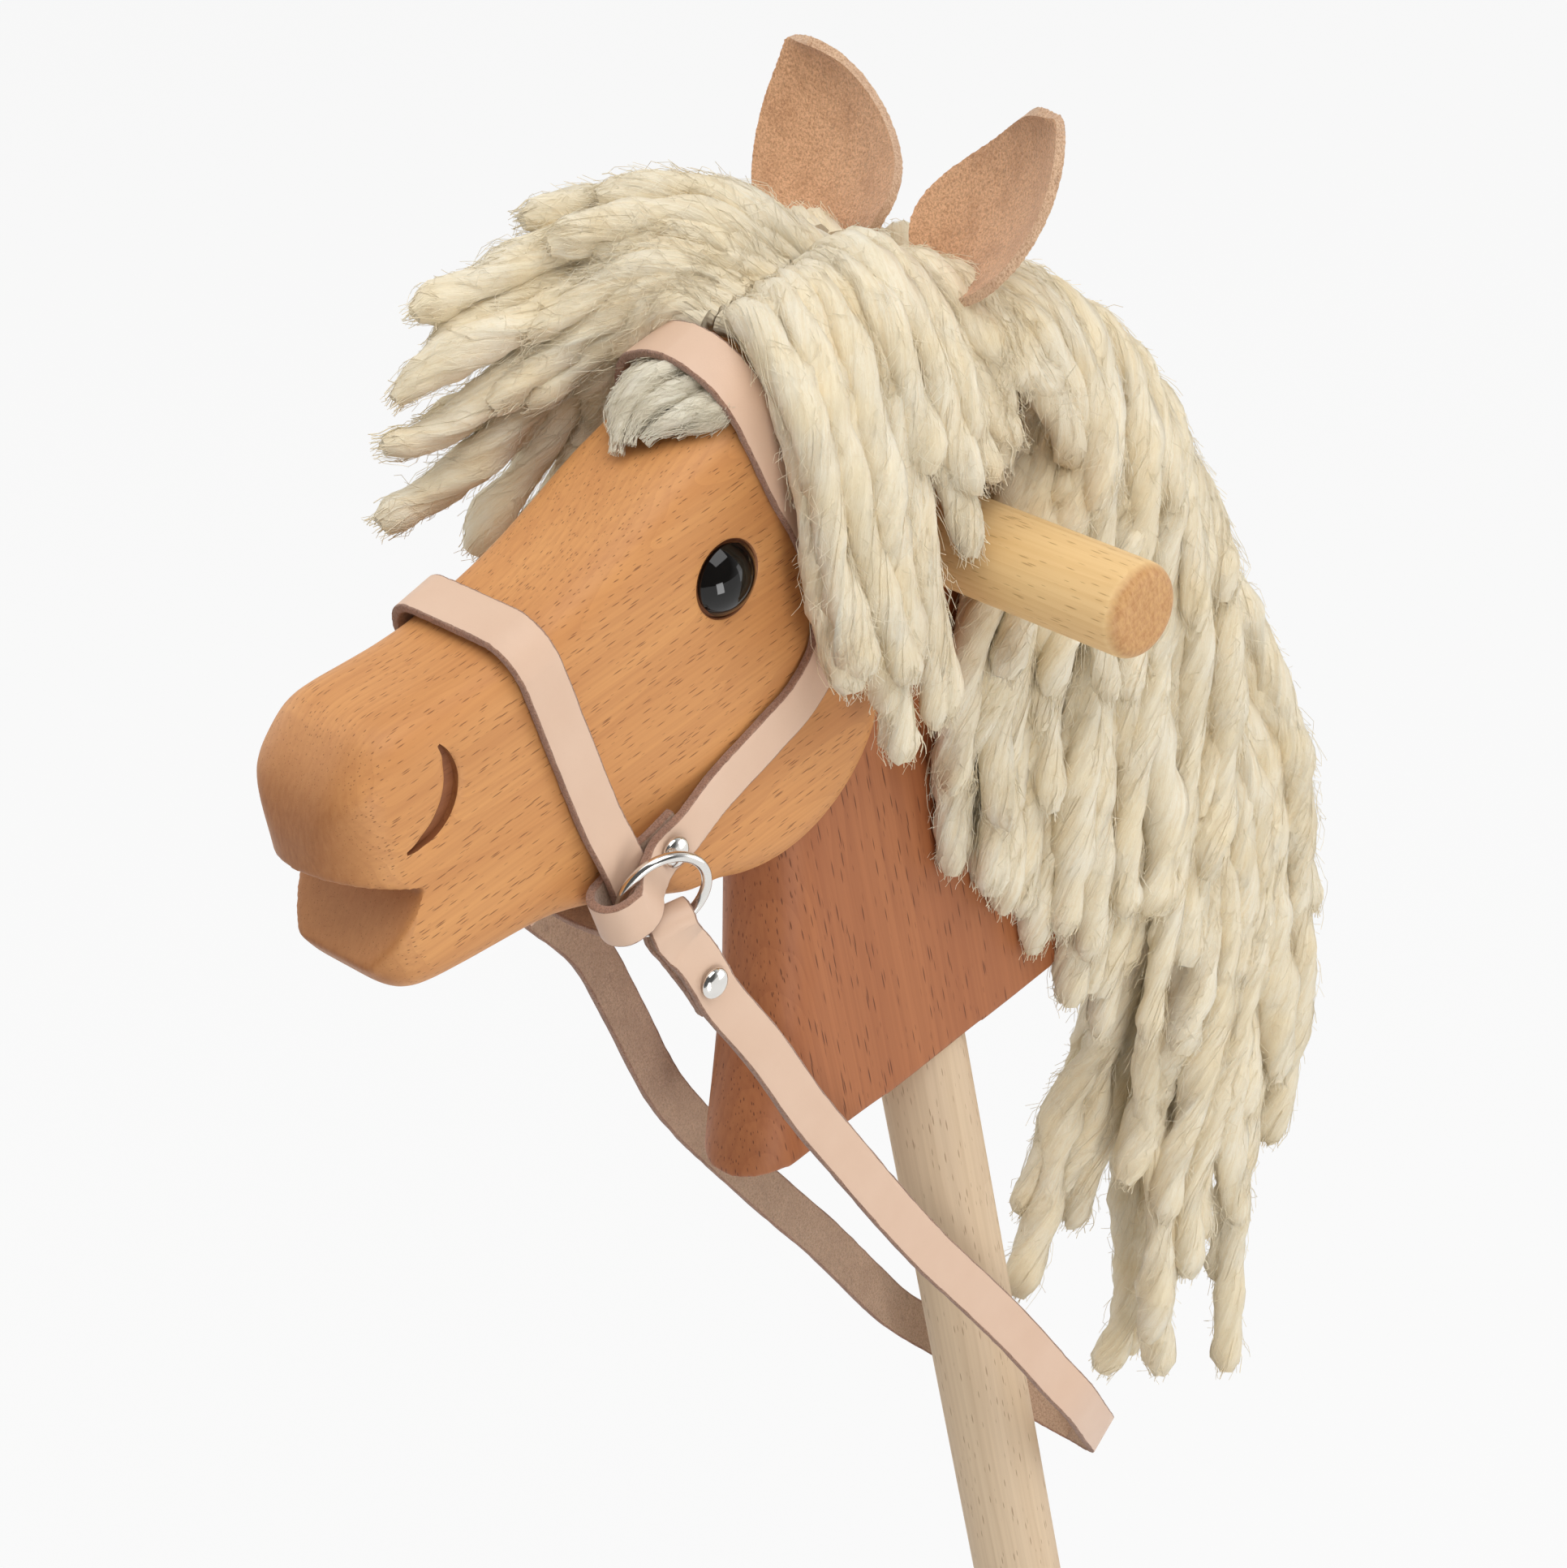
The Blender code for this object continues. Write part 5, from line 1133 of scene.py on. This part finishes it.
def panelStrands(guides, side, layers, seed):
    # Strands on the surface that the guide lines span, in layers, each with its own drift and length
    draw = random.Random(seed)
    stations = growth["stations"]
    lines = [evenLine(smoothLine(raised(guide, side), 8), stations) for guide in guides]
    spans = len(guides) - 1

    def surface(s, t):
        s = min(max(s, 0), spans)
        i = min(int(s), spans - 1)
        u = s - i
        k = min(int(t * (stations - 1)), stations - 2)
        f = t * (stations - 1) - k
        row = [line[k].lerp(line[k + 1], f) for line in lines]
        a, b = row[max(i - 1, 0)], row[i]
        c, d = row[i + 1], row[min(i + 2, spans)]
        return curvePoint(a, b, c, d, u)

    def frameAt(s, t):
        step = 0.02
        s = min(max(s, step), spans - step)
        t = min(max(t, step), 1 - step)
        across = surface(s + step, t) - surface(s - step, t)
        run = surface(s, t + step) - surface(s, t - step)
        return across.normalized(), run.cross(across).normalized()

    middleNormal = frameAt(spans / 2, 0.5)[1]
    outward = 1 if middleNormal.dot(Vector((side, 0, 0.4))) > 0 else -1
    breadth = sum((surface(i + 1, 0.6) - surface(i, 0.6)).length for i in range(spans))
    strands = []
    for layer in layers:
        count = len(guides) if "lines" in layer else max(round(breadth / layer["gap"]), 2)
        for k in range(count):
            if "lines" in layer:
                s0 = k + draw.uniform(-growth["lineScatter"], growth["lineScatter"])
            elif "start" in layer:
                s0 = draw.uniform(*layer["start"])
            else:
                s0 = (k + 0.5 + draw.uniform(-growth["scatter"], growth["scatter"])) / count * spans
            drift = draw.uniform(*layer["drift"])
            reach = draw.uniform(*layer["reach"])
            thick = draw.uniform(*layer["thick"])
            lift = draw.uniform(-0.3, 1.0) * layer["lift"]
            shift = draw.uniform(0, 100)
            points, radii = [], []
            steps = growth["steps"]
            for j in range(steps):
                t = reach * j / (steps - 1)
                wanted = s0 + drift * t ** growth["driftPower"]
                s = min(max(wanted, 0), spans)
                inside = min(t, 1.0)
                across, normal = frameAt(s, inside)
                point = surface(s, inside) + across * (wanted - s) * layer["flare"]
                if t > 1:
                    point = point + (surface(s, 1.0) - surface(s, 0.94)) * (t - 1) / 0.06
                ease = min(t * 4, 1)
                sway = noise.noise(Vector((shift, t * layer["waves"], 0))) * layer["sway"]
                rise = noise.noise(Vector((shift, t * layer["waves"], 7))) * layer["sway"]
                rise *= growth["depthSway"]
                tip = max(t / reach - growth["turnUpFrom"], 0)
                rise += layer["rise"] + lift * tip ** 1.5 * growth["turnUp"]
                point = point + across * sway * ease + normal * outward * rise * ease
                radii.append(thick * (growth["rootThick"] + (1 - growth["rootThick"]) * min(t * 5, 1)))
                points.append(clearOfRein(point, radii[-1]))
            strands.append((points, radii))
    return strands


# Guide lines of each panel of yarn, from the parting outwards and down, front to back
mane = {
    "forelockNear": [
        [(0.0025, -0.0200, 0.2535), (0.0120, -0.0215, 0.2565), (0.0245, -0.0235, 0.2450),
         (0.0312, -0.0285, 0.2230), (0.0338, -0.0315, 0.1960), (0.0350, -0.0310, 0.1650)],
        [(0.0025, -0.0130, 0.2540), (0.0130, -0.0150, 0.2575), (0.0265, -0.0190, 0.2475),
         (0.0325, -0.0250, 0.2210), (0.0350, -0.0275, 0.1860), (0.0360, -0.0265, 0.1420)],
        [(0.0025, -0.0050, 0.2540), (0.0130, -0.0080, 0.2580), (0.0265, -0.0130, 0.2480),
         (0.0330, -0.0170, 0.2220), (0.0360, -0.0190, 0.1800), (0.0365, -0.0190, 0.1290)],
        [(0.0025, 0.0030, 0.2545), (0.0130, 0.0030, 0.2585), (0.0265, 0.0010, 0.2480),
         (0.0330, -0.0040, 0.2220), (0.0360, -0.0075, 0.1820), (0.0365, -0.0100, 0.1330)],
        [(0.0025, 0.0100, 0.2545), (0.0130, 0.0110, 0.2580), (0.0255, 0.0100, 0.2475),
         (0.0325, 0.0070, 0.2220), (0.0355, 0.0060, 0.1900), (0.0360, 0.0040, 0.1560)],
        [(0.0025, 0.0165, 0.2535), (0.0130, 0.0170, 0.2560), (0.0240, 0.0175, 0.2460),
         (0.0310, 0.0180, 0.2240), (0.0335, 0.0185, 0.2030), (0.0340, 0.0190, 0.1810)],
        [(0.0025, 0.0225, 0.2525), (0.0125, 0.0225, 0.2535), (0.0225, 0.0235, 0.2450),
         (0.0285, 0.0280, 0.2290), (0.0305, 0.0380, 0.2080), (0.0305, 0.0480, 0.1920)]],
    "forelockFar": [
        [(0.0025, -0.0195, 0.2535), (0.0135, -0.0222, 0.2552), (0.0265, -0.0265, 0.2395),
         (0.0345, -0.0340, 0.2235), (0.0410, -0.0458, 0.2098), (0.0450, -0.0580, 0.1975)],
        [(0.0025, -0.0140, 0.2540), (0.0140, -0.0218, 0.2575), (0.0270, -0.0302, 0.2445),
         (0.0365, -0.0410, 0.2290), (0.0430, -0.0558, 0.2136), (0.0470, -0.0690, 0.2024)],
        [(0.0025, -0.0080, 0.2540), (0.0140, -0.0195, 0.2585), (0.0265, -0.0323, 0.2495),
         (0.0360, -0.0483, 0.2375), (0.0430, -0.0671, 0.2267), (0.0475, -0.0867, 0.2184)],
        [(0.0025, -0.0035, 0.2540), (0.0140, -0.0160, 0.2605), (0.0260, -0.0329, 0.2562),
         (0.0360, -0.0506, 0.2472), (0.0430, -0.0735, 0.2388), (0.0475, -0.0949, 0.2350)],
        [(0.0025, 0.0015, 0.2540), (0.0140, -0.0126, 0.2634), (0.0260, -0.0286, 0.2632),
         (0.0360, -0.0472, 0.2599), (0.0430, -0.0684, 0.2569), (0.0475, -0.0853, 0.2526)],
        [(0.0025, 0.0060, 0.2535), (0.0140, -0.0054, 0.2625), (0.0260, -0.0188, 0.2640),
         (0.0360, -0.0371, 0.2630), (0.0430, -0.0559, 0.2600), (0.0475, -0.0734, 0.2563)],
        [(0.0025, 0.0110, 0.2530), (0.0140, -0.0010, 0.2655), (0.0260, -0.0167, 0.2690),
         (0.0360, -0.0365, 0.2705), (0.0430, -0.0540, 0.2705), (0.0475, -0.0680, 0.2680)],
        [(0.0025, 0.0170, 0.2525), (0.0140, 0.0090, 0.2665), (0.0260, -0.0010, 0.2700),
         (0.0360, -0.0137, 0.2720), (0.0430, -0.0230, 0.2730), (0.0475, -0.0335, 0.2735)]],
    "neck": [
        [(0.0025, 0.0588, 0.2252), (0.0120, 0.0620, 0.2280), (0.0215, 0.0600, 0.2140),
         (0.0240, 0.0510, 0.1920), (0.0240, 0.0420, 0.1740), (0.0235, 0.0330, 0.1570),
         (0.0230, 0.0210, 0.1370), (0.0220, 0.0090, 0.1070), (0.0210, 0.0040, 0.0640)],
        [(0.0025, 0.0670, 0.2170), (0.0120, 0.0720, 0.2190), (0.0215, 0.0710, 0.2050),
         (0.0240, 0.0640, 0.1800), (0.0235, 0.0500, 0.1400), (0.0225, 0.0360, 0.1000),
         (0.0215, 0.0240, 0.0500)],
        [(0.0025, 0.0897, 0.1818), (0.0110, 0.0970, 0.1830), (0.0195, 0.0980, 0.1690),
         (0.0220, 0.0890, 0.1380), (0.0220, 0.0720, 0.0980), (0.0215, 0.0540, 0.0500),
         (0.0210, 0.0380, 0.0080)],
        [(0.0032, 0.1043, 0.1410), (0.0100, 0.1095, 0.1420), (0.0165, 0.1130, 0.1290),
         (0.0200, 0.1080, 0.0950), (0.0205, 0.0970, 0.0550), (0.0200, 0.0800, 0.0200),
         (0.0195, 0.0640, -0.0120)]],
    "tail": [
        [(0.0042, 0.0880, 0.0220), (0.0060, 0.0970, 0.0200), (0.0085, 0.1000, 0.0050),
         (0.0100, 0.0880, -0.0180), (0.0100, 0.0660, -0.0420), (0.0100, 0.0420, -0.0680),
         (0.0100, 0.0270, -0.1020)],
        [(0.0042, 0.0934, 0.0515), (0.0065, 0.1040, 0.0510), (0.0085, 0.1130, 0.0380),
         (0.0100, 0.1140, 0.0100), (0.0100, 0.1000, -0.0350), (0.0100, 0.0760, -0.0900),
         (0.0100, 0.0600, -0.1400)],
        [(0.0042, 0.0990, 0.0837), (0.0065, 0.1110, 0.0840), (0.0085, 0.1240, 0.0720),
         (0.0100, 0.1310, 0.0400), (0.0100, 0.1280, -0.0120), (0.0100, 0.1120, -0.0800),
         (0.0100, 0.0940, -0.1440)],
        [(0.0042, 0.1015, 0.1185), (0.0065, 0.1130, 0.1210), (0.0085, 0.1240, 0.1120),
         (0.0100, 0.1350, 0.0800), (0.0100, 0.1440, 0.0350), (0.0100, 0.1430, -0.0250),
         (0.0100, 0.1370, -0.1000)]],
    "crown": [
        [(0.0100, 0.0220, 0.2520), (0.0200, 0.0230, 0.2500), (0.0285, 0.0250, 0.2350),
         (0.0315, 0.0280, 0.2180), (0.0320, 0.0290, 0.2050), (0.0315, 0.0280, 0.1900)],
        [(0.0120, 0.0330, 0.2430), (0.0210, 0.0345, 0.2420), (0.0285, 0.0370, 0.2280),
         (0.0310, 0.0400, 0.2120), (0.0315, 0.0410, 0.2020), (0.0315, 0.0400, 0.1940)]],
    "shoulder": [
        [(0.0130, 0.0260, 0.2470), (0.0230, 0.0290, 0.2440), (0.0290, 0.0360, 0.2290),
         (0.0310, 0.0460, 0.2090), (0.0300, 0.0520, 0.1900), (0.0280, 0.0480, 0.1700),
         (0.0260, 0.0400, 0.1480)],
        [(0.0160, 0.0400, 0.2360), (0.0240, 0.0450, 0.2330), (0.0285, 0.0530, 0.2180),
         (0.0290, 0.0570, 0.1980), (0.0280, 0.0530, 0.1760), (0.0265, 0.0450, 0.1500),
         (0.0250, 0.0360, 0.1240)],
        [(0.0120, 0.0560, 0.2270), (0.0200, 0.0620, 0.2290), (0.0270, 0.0660, 0.2130),
         (0.0285, 0.0640, 0.1900), (0.0275, 0.0540, 0.1600), (0.0260, 0.0430, 0.1250),
         (0.0245, 0.0330, 0.0920)]]}
# Layers of strands: gap between them, rise over the panel, reach along it, thickness, sway, drift across it,
# lift of the ends, waves, and flare past the panel's edge
under = {"gap": 0.0092, "rise": -0.0042, "reach": (0.80, 1.00), "thick": (0.0040, 0.0048), "sway": 0.004,
         "drift": (-0.3, 0.3), "lift": 0.0, "waves": 2.6, "flare": 0.012}
deepest = dict(under, gap=0.0085, reach=(0.90, 1.05), drift=(-0.5, 0.2))
main = dict(under, gap=0.0100, rise=0.0, reach=(0.60, 1.04), sway=0.009, drift=(-0.6, 0.8), lift=0.005,
            waves=3.6, flare=0.026)
tips = dict(main, gap=0.0110, start=(2.4, 3.0), reach=(0.40, 0.90), drift=(0.8, 1.8), flare=0.017,
            thick=(0.0038, 0.0045))
over = dict(main, gap=0.0118, rise=0.0038, reach=(0.42, 0.90), sway=0.010, lift=0.006)
top = dict(main, gap=0.0160, rise=0.0070, reach=(0.28, 0.66), sway=0.010, lift=0.006)
fringe = dict(under, gap=0.0098, rise=0.0, reach=(0.78, 1.03), sway=0.006, drift=(-0.35, 0.35), lift=0.003)
fringeOver = dict(fringe, gap=0.0150, rise=0.0040, reach=(0.50, 0.88), sway=0.008, lift=0.004)
fingers = dict(under, lines=True, rise=0.0, reach=(0.92, 1.06), sway=0.006, drift=(-0.12, 0.12), waves=3.4,
               thick=(0.0042, 0.0050))
second = dict(fingers, reach=(0.62, 0.94), rise=0.0038, drift=(-0.35, 0.35), sway=0.008)
loose = dict(main, gap=0.0125, reach=(0.66, 1.10), sway=0.011, drift=(-0.5, 0.7), waves=3.6, flare=0.020,
             thick=(0.0044, 0.0052))
looseOver = dict(loose, gap=0.0170, rise=0.0040, reach=(0.42, 0.92))
panels = [("forelockNear", "forelock_left", 1, 5, (fringe, fringeOver)),
          ("forelockFar", "forelock_right", -1, 5, (dict(under, reach=(0.5, 0.8)), fingers, second)),
          ("neck", "mane_left", 1, 3, (deepest, main, over, top, tips)),
          ("neck", "mane_right", -1, 3, (deepest, main, over, top, tips)),
          ("tail", "tail_left", 1, 3, (loose, looseOver)), ("tail", "tail_right", -1, 3, (loose, looseOver)),
          ("shoulder", "", 1, 0, (main, over)), ("shoulder", "", -1, 0, (main, over)),
          ("crown", "", 1, 0, (fringe, fringeOver)), ("crown", "", -1, 0, (fringe, fringeOver))]
for number, (guides, node, side, tufts, layers) in enumerate(panels):
    strands = panelStrands(mane[guides], side, layers, 100 + number)
    name = "yarn_" + guides + ("Left" if side > 0 else "Right")
    shares = math.ceil(len(strands) / growth["perPiece"])
    for share in range(shares):
        piece = yarnPiece(name + ("" if share == 0 else f"_{share + 1}"), strands[share::shares], creamWool,
                          number * 1000 + share * 200)
        stand(piece, "horse", "wool", *[f"{node}_{i + 1}" for i in range(tufts)])
        if guides == "tail":
            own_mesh(piece)

brow = {"strands": [[(-0.0050, -0.0290, 0.2484), (-0.0090, -0.0370, 0.2462), (-0.0095, -0.0440, 0.2430),
                     (-0.0068, -0.0495, 0.2406), (-0.0030, -0.0530, 0.2392)],
                    [(0.0005, -0.0280, 0.2498), (-0.0045, -0.0370, 0.2490), (-0.0066, -0.0440, 0.2460),
                     (-0.0050, -0.0505, 0.2426), (-0.0014, -0.0545, 0.2398)],
                    [(0.0040, -0.0280, 0.2498), (0.0012, -0.0370, 0.2498), (-0.0014, -0.0440, 0.2480),
                     (-0.0024, -0.0510, 0.2438), (0.0004, -0.0575, 0.2388)],
                    [(0.0090, -0.0280, 0.2482), (0.0070, -0.0365, 0.2480), (0.0035, -0.0435, 0.2468),
                     (0.0012, -0.0500, 0.2436), (0.0022, -0.0545, 0.2402)],
                    [(0.0130, -0.0280, 0.2456), (0.0125, -0.0355, 0.2452), (0.0095, -0.0425, 0.2442),
                     (0.0058, -0.0485, 0.2420), (0.0045, -0.0520, 0.2402)],
                    [(0.0150, -0.0290, 0.2442), (0.0150, -0.0355, 0.2437), (0.0128, -0.0412, 0.2426),
                     (0.0092, -0.0460, 0.2411)]], "thick": 0.0031}
strands = []
for points in brow["strands"]:
    points = smoothLine(raised(points), 6)
    strands.append((points, [brow["thick"] * (1 - 0.25 * i / len(points)) for i in range(len(points))]))
piece = yarnPiece("yarn_brow", strands, greyWool, 5)
stand(piece, "horse", "wool", "brow_tuft")
print("mane done")

# Floor, lights and camera
view = {"place": (0.687170, -0.581859, 1.366429), "right": (0.70596, 0.68993, -0.16005),
        "up": (-0.32491, 0.51628, 0.79239), "lens": 100.9, "sensor": 36.0}
lamps = {"key": {"place": (0.75, 0.10, 2.05), "size": (1.1, 1.1), "power": 11.5},
         "overhead": {"place": (-0.20, -0.25, 2.25), "size": (1.0, 1.0), "power": 5.5},
         "window": {"place": (1.15, -0.45, 0.45), "size": (0.34, 0.60), "power": 4.3},
         "left": {"place": (-1.6, -0.5, 1.5), "size": (1.2, 1.2), "power": 7.5},
         "rear": {"place": (0.90, 1.00, 0.60), "size": (0.8, 0.8), "power": 3.4}}
aim = Vector((0, -0.02, 0.76))
studio = {"floorSize": 14, "floorDrop": 0.0005, "floorMatt": (0.78, 0.78, 0.78, 1),
          "floorWhite": (0.99, 0.99, 0.99, 1), "floorGlow": 0.90, "white": (0.985, 0.985, 0.985, 1),
          "fill": (1.0, 0.995, 0.98, 1), "fillStrength": 0.42, "darkSide": (0.63, -0.51, 0.59),
          "darkStrength": 0.10}


def makeFloor():
    bpy.ops.mesh.primitive_plane_add(size=studio["floorSize"], location=(0, 0, -studio["floorDrop"]))
    floor = bpy.context.object
    floor.name = "paleFloor"
    material = bpy.data.materials.new("paleFloor")
    material.use_nodes = True
    tree = material.node_tree
    tree.nodes.clear()
    matt = addNode(tree, "ShaderNodeBsdfDiffuse", {"Color": studio["floorMatt"]})
    glow = addNode(tree, "ShaderNodeEmission", {"Color": studio["floorWhite"], "Strength": 1.0})
    rays = addNode(tree, "ShaderNodeLightPath")
    share = calc(tree, "MAXIMUM", rays.outputs["Is Camera Ray"], rays.outputs["Is Glossy Ray"])
    share = calc(tree, "MAXIMUM", share, rays.outputs["Is Transmission Ray"])
    mix = addNode(tree, "ShaderNodeMixShader")
    out = addNode(tree, "ShaderNodeOutputMaterial")
    join(tree, (times(tree, share, studio["floorGlow"]), mix.inputs[0]), (matt.outputs[0], mix.inputs[1]),
         (glow.outputs[0], mix.inputs[2]), (mix.outputs[0], out.inputs["Surface"]))
    floor.data.materials.append(material)


def makeWorld():
    # White where the camera looks, a plain grey as light, and a room that is dark on the camera's side
    world = bpy.data.worlds.new("studio")
    bpy.context.scene.world = world
    world.use_nodes = True
    tree = world.node_tree
    tree.nodes.clear()
    seen = addNode(tree, "ShaderNodeBackground", {"Color": studio["white"], "Strength": 1.0})
    lit = addNode(tree, "ShaderNodeBackground", {"Color": studio["fill"], "Strength": studio["fillStrength"]})
    mirrored = addNode(tree, "ShaderNodeBackground", {"Color": studio["white"]})
    rays = addNode(tree, "ShaderNodeLightPath")
    way = addNode(tree, "ShaderNodeTexCoord").outputs["Generated"]
    facing = addNode(tree, "ShaderNodeVectorMath", {1: studio["darkSide"]}, operation="DOT_PRODUCT")
    join(tree, (way, facing.inputs[0]))
    dim = mapRange(tree, facing.outputs["Value"], -0.1, 0.55, 1.0, studio["darkStrength"])
    join(tree, (dim, mirrored.inputs["Strength"]))
    first = addNode(tree, "ShaderNodeMixShader")
    second = addNode(tree, "ShaderNodeMixShader")
    out = addNode(tree, "ShaderNodeOutputWorld")
    share = calc(tree, "MAXIMUM", rays.outputs["Is Camera Ray"], rays.outputs["Is Transmission Ray"])
    join(tree, (rays.outputs["Is Glossy Ray"], first.inputs[0]), (lit.outputs[0], first.inputs[1]),
         (mirrored.outputs[0], first.inputs[2]), (share, second.inputs[0]),
         (first.outputs[0], second.inputs[1]), (seen.outputs[0], second.inputs[2]),
         (second.outputs[0], out.inputs["Surface"]))


def makeLamps():
    for name, lamp in lamps.items():
        light = bpy.data.lights.new(name, "AREA")
        light.shape = "RECTANGLE"
        light.size, light.size_y = lamp["size"]
        light.energy = lamp["power"]
        made = added(name, light)
        made.location = lamp["place"]
        made.rotation_euler = (aim - Vector(lamp["place"])).to_track_quat("-Z", "Y").to_euler()


def makeCamera():
    data = bpy.data.cameras.new("camera")
    data.sensor_width = view["sensor"]
    data.sensor_fit = "HORIZONTAL"
    data.lens = view["lens"]
    data.clip_start = 0.01
    data.clip_end = 50
    camera = added("camera", data)
    right, up = Vector(view["right"]), Vector(view["up"])
    back = right.cross(up)
    turn = Matrix((right, up, back)).transposed().to_4x4()
    camera.matrix_world = Matrix.Translation(Vector(view["place"])) @ turn
    bpy.context.scene.camera = camera


makeFloor()
makeWorld()
makeLamps()
makeCamera()
bpy.context.scene.view_settings.view_transform = "Standard"
print("scene ready")
